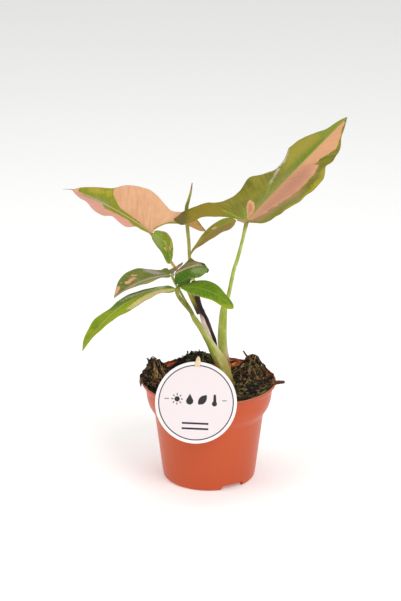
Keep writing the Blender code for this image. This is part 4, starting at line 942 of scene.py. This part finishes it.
def fibre_piece(name, patches, strands, mat, thickness, seed):
    """Makes fibres that wander over the soil, as one piece of thin tapered tubes.

    A patch gives its middle, spread, count, heading, the spread of the heading, length, the
    height that the middle of a fibre rises to and how far from the axis it may reach. A strand
    is one long fibre through the given places.
    """
    rng = random.Random(seed)
    curve = bpy.data.curves.new(name, "CURVE")
    curve.dimensions = "3D"
    curve.bevel_depth = thickness * MM
    curve.bevel_resolution = 0
    curve.use_fill_caps = True
    lines = []
    for strand in strands:
        line = smooth_curve(strand, STRAND_STEP)
        lines.append([(p.x, p.y, surface(p.x, p.y) + (p.z if len(p) > 2 else STRAND_RISE))
                      for p in line])
    for (mx, my), spread, count, heading, sway, length, lift, limit in patches:
        for _ in range(count):
            x, y = rng.gauss(mx, spread), rng.gauss(my, spread)
            turn = math.radians(rng.gauss(heading, sway))
            bend = math.radians(rng.gauss(0, FIBRE_BEND))
            steps = rng.randint(*FIBRE_STEPS)
            stride = length * rng.uniform(*FIBRE_LENGTH) / steps
            rise = lift * rng.random() ** 2
            points = []
            for k in range(steps + 1):
                inward = min(1.0, limit / max(math.hypot(x, y), 1.0))
                px, py = x * inward, y * inward
                arch = math.sin(math.pi * k / steps)
                points.append((px, py, surface(px, py) + FIBRE_RISE + rise * arch))
                x += stride * math.cos(turn)
                y += stride * math.sin(turn)
                turn += bend + math.radians(rng.gauss(0, FIBRE_JITTER))
            if not at_chip(*points[len(points) // 2][:2]):
                lines.append(points)
    for points in lines:
        spline = curve.splines.new("POLY")
        spline.points.add(len(points) - 1)
        for k, (point, place) in enumerate(zip(spline.points, points)):
            taper = FIBRE_END if k in (0, len(points) - 1) else 1.0
            point.co = (*(Vector(place) * MM), 1.0)
            point.radius = rng.uniform(*FIBRE_THICKNESS) * taper
    holder = add_object(name + "_curve", curve)
    mesh = evaluated_mesh(holder)
    bpy.data.objects.remove(holder)
    mesh.name = name
    add_piece(name, mesh, mat, smooth_angle=None)


def prism(bm, outline, thickness):
    """Adds an outline in the XY plane to a mesh as a flat prism that rises from z = 0."""
    face = bm.faces.new([bm.verts.new((x, y, 0.0)) for x, y in outline])
    bmesh.ops.translate(bm, verts=extruded(bm, [face]), vec=(0, 0, thickness))


def ring_points(centre, radius, count, start=0.0, sweep=360.0):
    """Points on an arc of a circle in the XY plane."""
    turns = [math.radians(start + sweep * k / count) for k in range(count)]
    return [(centre[0] + radius * math.cos(a), centre[1] + radius * math.sin(a)) for a in turns]


def card_place():
    """The matrix from the card laid flat, front up, to where it leans."""
    return (Matrix.Translation(CARD_CENTRE) @ Matrix.Rotation(math.radians(-CARD_LEAN), 4, "X")
            @ Matrix.Rotation(math.radians(90), 4, "X")
            @ Matrix.Rotation(math.radians(CARD_TURN), 4, "Z"))


def colour_setting(name, description, code):
    """A colour that a user can change."""
    return FloatVectorProperty(name=name, description=description, subtype="COLOR", size=4,
                               min=0, max=1, default=linear(code))


class PotSettings(bpy.types.PropertyGroup):
    colour: colour_setting("Colour", "Colour of the plastic", "#C45631")
    steps: IntProperty(name="Steps", description="Facets round the pot", default=160, min=24)


class SoilSettings(bpy.types.PropertyGroup):
    clods: IntProperty(name="Clods", description="Number of crumbs of peat on the soil",
                       default=1500, min=0)
    ring: FloatProperty(name="Ring", description="Spacing of the soil's mesh rings in mm",
                        default=1.1, min=0.3)
    seed: IntProperty(name="Seed", description="Seed of the crumbs and fibres", default=11)


class CardSettings(bpy.types.PropertyGroup):
    paper: colour_setting("Paper", "Colour of the card's border", "#F4EFEE")
    field: colour_setting("Field", "Printed tint inside the ring", "#EEE2E4")
    ink: colour_setting("Ink", "Colour of the icons and lines", "#242327")


class LeafSettings(bpy.types.PropertyGroup):
    thickness: FloatProperty(name="Thickness", description="Thickness of a leaf in mm",
                             default=0.5, min=0.2, max=0.8)
    vein_depth: FloatProperty(name="Vein depth", description="Depth of the sunken veins in mm",
                              default=0.24, min=0.0, max=1.0)
    cell: FloatProperty(name="Cell", description="Size of a leaf's mesh cells in mm",
                        default=1.2, min=0.5, max=6.0)


class StageSettings(bpy.types.PropertyGroup):
    elevation: FloatProperty(name="Elevation", description="Camera height angle in degrees",
                             default=19.1)
    distance: FloatProperty(name="Distance", description="Camera distance in metres",
                            default=1.8, min=0.3)
    lens: FloatProperty(name="Lens", description="Focal length in mm", default=122.16, min=10)
    floor: colour_setting("Floor", "Colour of the floor", "#FDFDFC")
    key: FloatProperty(name="Key", description="Power of the key light in watts", default=16.5)
    world: FloatProperty(name="World", description="Strength of the even light", default=0.5)


class PLANT_OT_pot(bpy.types.Operator):
    """Makes the moulded pot"""

    bl_idname = "plant.pot"
    bl_label = "Pot"

    def execute(self, context):
        settings = context.scene.plant_pot
        floor = CHANNEL_Z + POT_WALL
        foot_inside = POT_FOOT_R - FOOT_WIDTH
        band = [tuple(p) for p in smooth_curve(POT_BAND, 1.2)]
        inner = [(r - POT_WALL, z) for r, z in POT_BODY[3:] + band][::-1]
        profile = [(0, 0), (BOSS_R, 0), (BOSS_R + CHANNEL_SLOPE, CHANNEL_Z),
                   (foot_inside - CHANNEL_SLOPE, CHANNEL_Z), (foot_inside, 0), *POT_BODY, *band,
                   (POT_TOP_R, POT_HEIGHT - LIP_ROUND), (POT_TOP_R - LIP_ROUND, POT_HEIGHT),
                   (POT_TOP_R - POT_WALL, POT_HEIGHT), *inner,
                   (wall_radius(floor + 1), floor + 1),
                   (wall_radius(floor) - CHANNEL_SLOPE / 2, floor),
                   (BOSS_R + 2 * CHANNEL_SLOPE, floor), (BOSS_R + CHANNEL_SLOPE / 2, POT_WALL),
                   (0, POT_WALL)]
        bm = spun(profile, settings.steps)
        bmesh.ops.recalc_face_normals(bm, faces=bm.faces)
        sharp = [e for e in bm.edges if len(e.link_faces) == 2
                 and abs(e.verts[0].co.z - e.verts[1].co.z) < 1e-4
                 and abs(e.verts[0].co.xy.length - e.verts[1].co.xy.length) < 1e-4
                 and e.calc_face_angle() > math.radians(25)]
        bmesh.ops.bevel(bm, geom=sharp, offset=EDGE_ROUND, offset_type="OFFSET", segments=3,
                        profile=0.5, affect="EDGES", material=-1, clamp_overlap=True)
        mat = pot_material(settings.colour[:])
        pot = add_piece("pot_moulded", bm, mat, ["pot"], smooth_angle=32.0)
        cutters = []
        for angle in NOTCH_ANGLES:
            turn = Matrix.Rotation(math.radians(angle), 4, "Z")
            cutters.append(rounded_box(NOTCH_SIZE, NOTCH_ROUND,
                                       turn @ Matrix.Translation((NOTCH_REACH, 0, 0))))
        for x, y in ring_points((0, 0), DRAIN_CIRCLE_R, DRAIN_COUNT, 180.0 / DRAIN_COUNT):
            bm = bmesh.new()
            bmesh.ops.create_cone(bm, cap_ends=True, segments=24, radius1=DRAIN_R, radius2=DRAIN_R,
                                  depth=DRAIN_DEPTH,
                                  matrix=Matrix.Translation((x, y, CHANNEL_Z)))
            cutters.append(bm)
        cut(pot, cutters)
        return {"FINISHED"}


class PLANT_OT_soil(bpy.types.Operator):
    """Makes the peat, its crumbs, fibres, twigs and chip of bark"""

    bl_idname = "plant.soil"
    bl_label = "Soil"

    def execute(self, context):
        settings = context.scene.plant_soil
        peat = earth_material("peat, damp", ("#0E0B09", "#1F1712", "#3A2A1C", "#5A4526"), 0.35)
        floor = CHANNEL_Z + POT_WALL + GAP
        rings = round(SOIL_R / settings.ring)
        profile = [(SOIL_R * k / rings, SOIL_LEVEL) for k in range(rings + 1)]
        heights = [SOIL_WALL_TOP - SOIL_WALL_STEP * k for k in range(SOIL_WALL_STEPS)]
        profile += [(wall_radius(z) - GAP, z) for z in heights]
        profile += [(wall_radius(floor) - 1.5, floor), (0, floor)]
        bm = spun(profile, SOIL_FACETS)
        for v in bm.verts:
            if v.co.z > SOIL_WALL_TOP + 1.0:
                v.co.z = ground(v.co.x, v.co.y)
        add_piece("peat_bed", bm, peat, ["soil"], smooth_angle=70.0)
        self.clods(settings, peat)
        self.fibres(settings.seed)
        self.twigs()
        return {"FINISHED"}

    @staticmethod
    def clods(settings, mat):
        """Crumbs of peat strewn over the soil."""
        rng = random.Random(settings.seed)
        bm = bmesh.new()
        spots = []
        for _ in range(settings.clods):
            spots.append(((SOIL_R - 1.0) * math.sqrt(rng.random()), rng.uniform(0, math.tau)))
        for _ in range(SPILL_CLODS):
            spots.append((rng.uniform(*SPILL_REACH), math.radians(rng.gauss(*SPILL_ANGLE))))
        for reach, angle in spots:
            x, y = reach * math.cos(angle), reach * math.sin(angle)
            size = CLOD_SIZE[0] + CLOD_SIZE[1] * rng.random() ** 3
            turn = Matrix.Rotation(rng.uniform(0, math.tau), 4, Vector((rng.random(), 1, 1)))
            shape = Matrix.Diagonal((*(side * size for side in CLOD_SHAPE), 1.0))
            place = Matrix.Translation((x, y, surface(x, y) + CLOD_RISE * size))
            if not at_chip(x, y):
                bmesh.ops.create_icosphere(bm, subdivisions=1 + (size > CLOD_FINE), radius=1.0,
                                           matrix=place @ turn @ shape)
        for v in bm.verts:
            v.co += CLOD_ROUGH * noise.noise_vector(v.co / 0.9)
        add_piece("peat_crumbs", bm, mat, smooth_angle=50.0)

    @staticmethod
    def fibres(seed):
        """Tan, brown, olive, dark and mossy fibres."""
        left, right, front, back = (-46, 4), (38, 8), (33, -24), (-8, 42)
        spill, edge = 62.0, SOIL_R + 3.0
        kinds = {
            "fibres_pale": (("#8A6A3C", "#B7935A", "#D8C096"), 0.36, TAN_STRANDS, [
                (left, 8, 120, 80, 70, 15, 4.0, spill), (right, 11, 46, 100, 50, 17, 2.5, edge),
                ((-34, -18), 9, 30, 50, 60, 14, 2.0, edge), (front, 10, 14, 20, 40, 13, 1.5, edge)]),
            "fibres_brown": (("#4A2E18", "#7A5230", "#9E7244"), 0.38, DARK_STRANDS, [
                (left, 9, 150, 90, 70, 13, 4.0, spill), (right, 14, 90, 90, 70, 13, 2.5, edge),
                ((0, 0), 26, 90, 0, 90, 10, 1.5, edge), (front, 12, 50, 25, 50, 15, 1.5, edge)]),
            "fibres_olive": (("#36331C", "#625C2C", "#86804A"), 0.45, OLIVE_STRANDS, [
                (front, 11, 90, 22, 24, 22, 1.5, edge), (right, 12, 70, 150, 35, 18, 2.0, edge),
                (back, 12, 110, 0, 60, 11, 2.5, edge), ((-26, -32), 9, 30, 30, 50, 12, 1.5, edge)]),
            "fibres_dark": (("#0C0A08", "#1C150F", "#2E2218"), 0.5, [], [
                ((0, 0), 30, 240, 0, 90, 11, 2.0, edge), (back, 14, 60, 0, 90, 9, 3.0, edge),
                (right, 14, 80, 90, 90, 11, 2.5, edge), (left, 9, 60, 90, 90, 12, 5.0, spill)]),
            "moss_tufts": (("#4A4C1E", "#7E7E38", "#ACA662"), 0.42, [], [
                ((38.5, -17), 3, 14, 30, 60, 5, 1.0, edge), (back, 11, 60, 0, 70, 6, 2.5, edge),
                ((34, -4), 9, 16, 20, 40, 10, 1.5, edge), ((-14, 34), 8, 20, 0, 60, 7, 1.5, edge)]),
        }
        for k, (name, (tints, thickness, strands, patches)) in enumerate(kinds.items()):
            mat = earth_material(name.replace("_", ", "), tints, 0.12, 0.75)
            fibre_piece(name, patches, strands, mat, thickness, seed + k)

    @staticmethod
    def twigs():
        """Broken twigs, and one chip of bark at the back."""
        mat = stem_material("twig bark", "#5A3C28", "#2C1E14", "#8E6A48", roughness=0.85)
        for k, (foot, tip, half) in enumerate(TWIGS):
            stations = []
            for t in (0.0, 0.3, 0.65, 1.0):
                bend = TWIG_BEND * math.sin(math.pi * t)
                place = Vector(foot).lerp(Vector(tip), t) + bend * noise.noise_vector(
                    Vector((3.1 * k, 2.0 * t, 0.5)))
                stations.append((tuple(place), half * (1.4 - 0.6 * t), half * (1.2 - 0.5 * t)))
            bm = tube(stations, 9, 0.9, lambda angle, along: 1.0 + TWIG_ROUGH * noise.noise(
                Vector((math.cos(angle), math.sin(angle), along * 0.9 + 7.0 * k))))
            add_piece(f"twig_{k}", bm, mat)
        tilt_x, tilt_y, turn_z = (math.radians(angle) for angle in CHIP_TURN)
        place = (Matrix.Translation(CHIP_PLACE) @ Matrix.Rotation(turn_z, 4, "Z")
                 @ Matrix.Rotation(tilt_x, 4, "X") @ Matrix.Rotation(tilt_y, 4, "Y"))
        bm = bmesh.new()
        bmesh.ops.create_cube(bm, size=1.0)
        bmesh.ops.subdivide_edges(bm, edges=bm.edges[:], cuts=11, use_grid_fill=True)
        for v in bm.verts:
            x, y, z = (c * d for c, d in zip(v.co, CHIP_SIZE))
            rough = noise.noise_vector(Vector((x * 0.3, y * 1.3, z)))
            taper = 1.0 - 0.45 * abs(v.co.x) * (1.0 + math.sin(7 * v.co.y))
            v.co = place @ Vector((x + rough.x * 1.4, y * taper + rough.y * 0.6, z + rough.z * 0.9))
        bark = earth_material("pine bark", ("#8A4420", "#C9713A", "#E9A368"), 0.3, 0.8)
        add_piece("bark_flake", bm, bark, ["bark_chip"], smooth_angle=35.0)


class PLANT_OT_card(bpy.types.Operator):
    """Makes the round care card with its generic icons, and the wooden pick"""

    bl_idname = "plant.card"
    bl_label = "Card and pick"

    def execute(self, context):
        settings = context.scene.plant_card
        self.card(settings)
        self.print(settings)
        self.pick()
        return {"FINISHED"}

    @staticmethod
    def card(settings):
        """The die-cut card, slit near its top."""
        bm = bmesh.new()
        edges = []
        for outline in (ring_points((0, 0), CARD_R, CARD_FACETS), SLIT):
            verts = [bm.verts.new((x, y, -CARD_T / 2)) for x, y in outline]
            edges += [bm.edges.new(pair) for pair in zip(verts, verts[1:] + verts[:1])]
        bmesh.ops.triangle_fill(bm, edges=edges, use_beauty=True)
        front = extruded(bm, bm.faces[:])
        bmesh.ops.translate(bm, verts=front, vec=(0, 0, CARD_T))
        slit = [v for v in front if v.co.xy.length < CARD_R - 1.0]
        bmesh.ops.translate(bm, verts=slit, vec=(*SLIT_SHIFT, 0))
        flat = [v.co[:] for v in bm.verts]
        bmesh.ops.transform(bm, matrix=card_place(), verts=bm.verts)
        # Laminated card is white, even and nearly matt, with a tint printed inside its ring.
        mat, tree, shader = new_material("art card, matt laminated", Roughness=0.5, IOR=1.5)
        spot = add_node(tree, "Attribute", out="Vector", attribute_name="flat")
        axes = add_node(tree, "SeparateXYZ", {0: spot}).node.outputs
        level = add_node(tree, "CombineXYZ", {0: axes["X"], 1: axes["Y"]})
        reach = add_node(tree, "VectorMath", {0: level}, "Value", operation="LENGTH")
        inside = add_node(tree, "Math", {0: reach, 1: RING_R}, operation="LESS_THAN")
        printed = add_node(tree, "Math", {0: axes["Z"], 1: 0.0}, operation="GREATER_THAN")
        inside = add_node(tree, "Math", {0: inside, 1: printed}, operation="MULTIPLY")
        colour = add_node(tree, "Mix", {0: inside, MIX_A: settings.paper[:],
                                        MIX_B: settings.field[:]}, MIX_OUT, data_type="RGBA")
        fibre = add_node(tree, "TexNoise", {"Vector": spot, "Scale": 2.0, "Detail": 4.0})
        colour = vary(tree, colour, fibre, 0.0, 1.0, 0.985, 1.0)
        skin(tree, shader, colour, fibre, 0.1, 0.00005)
        add_piece("care_card", bm, mat, ["label_card"], {"flat": flat}, 30.0)

    @staticmethod
    def print(settings):
        """The printed ring, four plain care icons, two dashes and two ruled lines."""
        bm = bmesh.new()
        sun, drop, leaf, gauge = -16.5, -5.5, 5.5, 16.0
        middle = 2.6
        prism(bm, ring_points((sun, middle), 2.3, 28), INK_T)
        for k in range(8):
            turn = Matrix.Rotation(math.radians(45 * k), 2)
            ray = [(3.2, -0.45), (5.0, -0.35), (5.0, 0.35), (3.2, 0.45)]
            prism(bm, [(turn @ Vector(p)) + Vector((sun, middle)) for p in ray], INK_T)
        prism(bm, ring_points((drop, middle - 1.4), 3.1, 22, 150, 240) + [(drop, middle + 5)], INK_T)
        blade = [(leaf - 3.6, middle - 4.2)]
        blade += ring_points((leaf + 2.6, middle - 2.2), 6.4, 9, 196, -92)
        blade += [(leaf + 3.8, middle + 4.6)]
        blade += ring_points((leaf - 2.8, middle + 2.0), 6.6, 9, 20, -94)
        prism(bm, blade, INK_T)
        bulb = ring_points((gauge, middle - 3.0), 2.2, 20, 120, 300)
        stem = ring_points((gauge, middle + 4.0), 1.1, 10, 0, 180)
        prism(bm, bulb + stem, INK_T)
        for x in (-25.5, 24.5):
            prism(bm, [(x - 1.9, middle - 0.3), (x + 1.9, middle - 0.3), (x + 1.9, middle + 0.3),
                       (x - 1.9, middle + 0.3)], INK_T)
        for y, half in ((-18.0, 11.5), (-22.6, 11.5)):
            prism(bm, [(-half, y - 0.8), (half, y - 0.8), (half, y + 0.8), (-half, y + 0.8)], INK_T)
        ring = spun([(RING_R, 0), (RING_R + RING_WIDTH, 0), (RING_R + RING_WIDTH, INK_T),
                     (RING_R, INK_T), (RING_R, 0)], CARD_FACETS)
        mesh = bpy.data.meshes.new("ring")
        ring.to_mesh(mesh)
        ring.free()
        bm.from_mesh(mesh)
        bpy.data.meshes.remove(mesh)
        bmesh.ops.translate(bm, verts=bm.verts, vec=(0, 0, CARD_T / 2 + 0.01))
        bmesh.ops.transform(bm, matrix=card_place(), verts=bm.verts)
        # Offset ink lies thin and nearly black, a little uneven.
        mat, tree, shader = new_material("offset ink", Roughness=0.45)
        where = add_node(tree, "TexCoord", out="Object")
        grain = add_node(tree, "TexNoise", {"Vector": where, "Scale": 1.5 / MM, "Detail": 3.0})
        skin(tree, shader, vary(tree, settings.ink[:], grain, 0.0, 1.0, 0.8, 1.2))
        add_piece("card_print", bm, mat, smooth_angle=20.0)

    @staticmethod
    def pick():
        """The flat birch pick with a rounded point at its top."""
        foot, tip = Vector(PICK_FOOT), Vector(PICK_TIP)
        length = (tip - foot).length
        rise = (tip - foot).normalized()
        side = rise.cross(Vector((0, 1, 0))).normalized()
        half = PICK_WIDTH / 2
        outline = [(-half, 0), (half, 0), (half, length - 7), (half * 0.92, length - 4.5),
                   (half * 0.68, length - 1.8), (half * 0.3, length - 0.3),
                   (-half * 0.15, length), (-half * 0.62, length - 1.8),
                   (-half * 0.94, length - 4.8), (-half, length - 8)]
        bm = bmesh.new()
        prism(bm, outline, PICK_T)
        bmesh.ops.bevel(bm, geom=bm.edges[:], offset=0.18, offset_type="OFFSET", segments=2,
                        profile=0.5, affect="EDGES", material=-1)
        straight = [(v.co.x, v.co.z, v.co.y) for v in bm.verts]
        for v in bm.verts:
            v.co = foot + side * v.co.x + rise * v.co.y + side.cross(rise) * (v.co.z - PICK_T / 2)
        mat = stem_material("birch, sawn", "#EED3B2", "#DDBB92", "#F6E3C8", roughness=0.65)
        add_piece("birch_pick", bm, mat, ["label_stick"], {"straight": straight}, 35.0)


class PLANT_OT_stems(bpy.types.Operator):
    """Makes the stems, petioles and stalks"""

    bl_idname = "plant.stems"
    bl_label = "Stems"

    def execute(self, context):
        green = ("#ACB84E", "#93A23A", "#C0C66E")
        young = ("#A3A046", "#8A8E34", "#B4B25A")
        self.stem("petiole_tall", PETIOLE_RIGHT, green, "green_petiole", ["petiole_right"],
                  [("#8A6A44", -10, 24, 7, 0), ("#D2B49A", 32, 50, 7, -1), ("#8A5E48", 30, 40, 5, -1),
                   ("#C6BE7C", 18, 62, 15, 1), ("#8C7A48", 168, 180, 4, 0)],
                  self.sheath(92, 0.05), under="right")
        self.stem("stalk_tall", RIGHT_STALK, ("#C0917A", "#A87C64", "#D2AE98"), "green_petiole")
        self.stem("old_stem", DARK_STEM, ("#3A2A2E", "#1C1214", "#6A4C4A"), "dark_stem",
                  ["dark_stem"], [("#6E4444", 100, 114, 6, -1), ("#4C4420", 88, 100, 6, -1)],
                  lambda angle, along: 1.0 + 0.14 * noise.noise(
                      Vector((1.6 * math.cos(angle), 1.6 * math.sin(angle), along * 0.35))))
        self.stem("dry_sheath", DRY_SHEATH, ("#EED9D2", "#D2B2AA", "#F8EDE8"), "dark_stem",
                  bands=[("#B08A80", -4, 4, 4, 0)], sides=16)
        self.stem("furled_leaf", LEADER, young, "furled_leaf", ["leader"],
                  [("#76741E", 58, 74, 6, 0), ("#8A5A34", 82, 95, 4, 0), ("#B6AE56", 8, 50, 9, 1)],
                  lambda angle, along: 0.9 + 0.22 * (((angle + along * 0.05) / math.tau) % 1.0),
                  sides=32)
        self.stem("petiole_low", PETIOLE_LEFT, ("#A39A3E", "#85802E", "#BFA44C"),
                  "green_petiole", ["petiole_left"],
                  [("#35261E", -8, 9, 5, 0), ("#5A4A20", 8, 22, 6, -1), ("#7E8A2C", 14, 30, 6, 1),
                   ("#C4A852", 36, 60, 8, 0)],
                  lambda angle, along: (self.sheath(20, 0.06)(angle, along) * (
                      1.0 - 0.6 * max(0.0, math.cos(angle)) * max(0.0, 1.0 - along / 12.0))),
                  under="left")
        self.stem("stalk_low", LEFT_STALK, ("#8C8A3C", "#6C7028", "#A89A58"), "green_petiole")
        # The shoot's pale cream band down one side, from 46 to 84 mm along it, is a painted highlight; its
        # brown bands are its own colour.
        self.stem("shoot", FRONT_SHOOT, ("#AFB450", "#93A038", "#CCCB80"), "green_petiole",
                  ["front_shoot"],
                  [("#84582A", -10, 26, 7, 0), ("#9A6A38", 10, 46, 9, 1), ("#B49C4E", 24, 50, 8, -1),
                   ("#D2CF92", 46, 84, 12, -1), ("#84902E", 50, 74, 8, 1)],
                  lambda angle, along: ((1.0 + 0.03 * math.cos(9 * angle) * min(1.0, along / 30.0))
                                        * (1.0 - 0.35 * max(0.0, along - 86.0) / 9.0)))
        self.stem("petiole_centre", CENTRE_PETIOLE, ("#A6AE4C", "#8A9638", "#BFC06C"),
                  "green_petiole", swell=lambda angle, along: 1.25 - 0.15 * min(1.0, along / 30.0))
        self.stem("stalk_centre", CENTRE_STALK, ("#C09A7C", "#A88062", "#D2B098"),
                  "green_petiole")
        self.stem("petiole_front", FRONT_PETIOLE, ("#90903A", "#74762C", "#A6A650"),
                  "green_petiole", bands=[("#6E4A2C", -4, 40, 5, 1)],
                  swell=lambda angle, along: 1.32)
        self.stem("stalk_front", FRONT_STALK, ("#8A9A38", "#6A7A24", "#A0A64C"), "green_petiole")
        for name, (stations, tints) in LEAF_POINTS.items():
            self.stem(name, stations, tints, "leaf_green", sides=12, step=0.5)
        return {"FINISHED"}

    @staticmethod
    def sheath(length, depth):
        """A groove down the front of a petiole's sheathed foot, with a raised lip beside it."""
        groove_at, groove_width = -62, 13
        lip_beside, lip_width = 24, 12
        fade_out = 18.0

        def swell(angle, along):
            deep = depth * min(1.0, max(0.0, (length - along) / fade_out))
            off = (math.degrees(angle) - groove_at + 180) % 360 - 180
            groove = math.exp(-(off / groove_width) ** 2)
            lip = math.exp(-((off - lip_beside) / lip_width) ** 2)
            return 1.0 + deep * (lip - groove)
        return swell

    @staticmethod
    def stem(name, stations, tints, slot, nodes=(), bands=(), swell=None, sides=24, step=1.2,
             under=None):
        """One stem with its own skin, trimmed to the leaf that it carries."""
        bm = tube(stations, sides, step, swell)
        if under:
            seat_under(bm, LEAVES[under])
        mat = stem_material(name.replace("_", " ") + " skin", *tints, bands=bands)
        add_piece(name, bm, mat, nodes, smooth_angle=50.0)


class PLANT_OT_leaves(bpy.types.Operator):
    """Makes every leaf with its veins and variegation"""

    bl_idname = "plant.leaves"
    bl_label = "Leaves"

    def execute(self, context):
        settings = context.scene.plant_leaf
        for name, leaf in LEAVES.items():
            bm, values = leaf_mesh(leaf, settings.cell, settings.thickness, settings.vein_depth)
            mat = leaf_material(name.replace("_", " ") + " leaf tissue", leaf)
            add_piece("leaf_" + name, bm, mat, [leaf["node"]], values, 60.0)
        return {"FINISHED"}


class PLANT_OT_stage(bpy.types.Operator):
    """Sets the floor, the soft light and the camera"""

    bl_idname = "plant.stage"
    bl_label = "Stage"

    def execute(self, context):
        settings = context.scene.plant_stage
        scene = context.scene
        self.floor(settings)
        world = bpy.data.worlds.new("even light")
        world.use_nodes = True
        background = world.node_tree.nodes["Background"]
        background.inputs["Color"].default_value = (1.0, 1.0, 1.0, 1.0)
        background.inputs["Strength"].default_value = settings.world
        scene.world = world
        scene.view_settings.view_transform = "Standard"
        target = Vector(TARGET)
        for name, place, size, share in LIGHTS:
            data = bpy.data.lights.new(name, "AREA")
            data.size = size
            data.energy = share * settings.key
            lamp = add_object(name, data)
            lamp.location = place
            lamp.rotation_euler = (target - Vector(place)).to_track_quat("-Z", "Y").to_euler()
        tilt = math.radians(settings.elevation)
        data = bpy.data.cameras.new("camera")
        data.lens = settings.lens
        data.sensor_width = 36.0
        data.clip_end = 20.0
        camera = add_object("camera", data)
        camera.location = target + settings.distance * Vector((0, -math.cos(tilt), math.sin(tilt)))
        camera.rotation_euler = (math.radians(90) - tilt, 0, 0)
        scene.camera = camera
        return {"FINISHED"}

    @staticmethod
    def floor(settings):
        """A wide matt floor just under the pot."""
        bm = bmesh.new()
        bmesh.ops.create_grid(bm, x_segments=1, y_segments=1, size=FLOOR_SIZE,
                              matrix=Matrix.Translation((0, 0, FLOOR_Z)))
        mesh = bpy.data.meshes.new("floor")
        bm.to_mesh(mesh)
        bm.free()
        # Painted board is matt and even, so it stays pale and shows only a soft shadow.
        mat, tree, shader = new_material("painted board", Roughness=0.9, Specular_IOR_Level=0.1,
                                         Emission_Color=(1, 1, 1, 1), Emission_Strength=0.2)
        where = add_node(tree, "TexCoord", out="Object")
        mottle = add_node(tree, "TexNoise", {"Vector": where, "Scale": 3.0})
        skin(tree, shader, vary(tree, settings.floor[:], mottle, 0.0, 1.0, 0.99, 1.01))
        mesh.materials.append(mat)
        add_object("floor", mesh)


class PLANT_PT_panel(bpy.types.Panel):
    """Lists the plant's pieces and their settings"""

    bl_idname = "PLANT_PT_panel"
    bl_label = "Potted Plant"
    bl_space_type = "VIEW_3D"
    bl_region_type = "UI"
    bl_category = "Plant"

    def draw(self, context):
        for operator, group in PIECES:
            box = self.layout.box()
            box.operator(f"plant.{operator}")
            if group:
                settings = getattr(context.scene, group)
                for key in settings.__annotations__:
                    box.prop(settings, key)


PIECES = [("pot", "plant_pot"), ("soil", "plant_soil"), ("card", "plant_card"),
          ("stems", None), ("leaves", "plant_leaf"), ("stage", "plant_stage")]
GROUPS = {"plant_pot": PotSettings, "plant_soil": SoilSettings, "plant_card": CardSettings,
          "plant_leaf": LeafSettings, "plant_stage": StageSettings}
CLASSES = [*GROUPS.values(), PLANT_OT_pot, PLANT_OT_soil, PLANT_OT_card, PLANT_OT_stems,
           PLANT_OT_leaves, PLANT_OT_stage, PLANT_PT_panel]


def register():
    for cls in CLASSES:
        bpy.utils.register_class(cls)
    for name, group in GROUPS.items():
        setattr(bpy.types.Scene, name, PointerProperty(type=group))


def unregister():
    for name in GROUPS:
        delattr(bpy.types.Scene, name)
    for cls in reversed(CLASSES):
        bpy.utils.unregister_class(cls)


def main():
    """Builds every piece in turn."""
    register()
    for operator, _ in PIECES:
        getattr(bpy.ops.plant, operator)()
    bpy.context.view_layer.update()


if __name__ == "__main__":
    main()
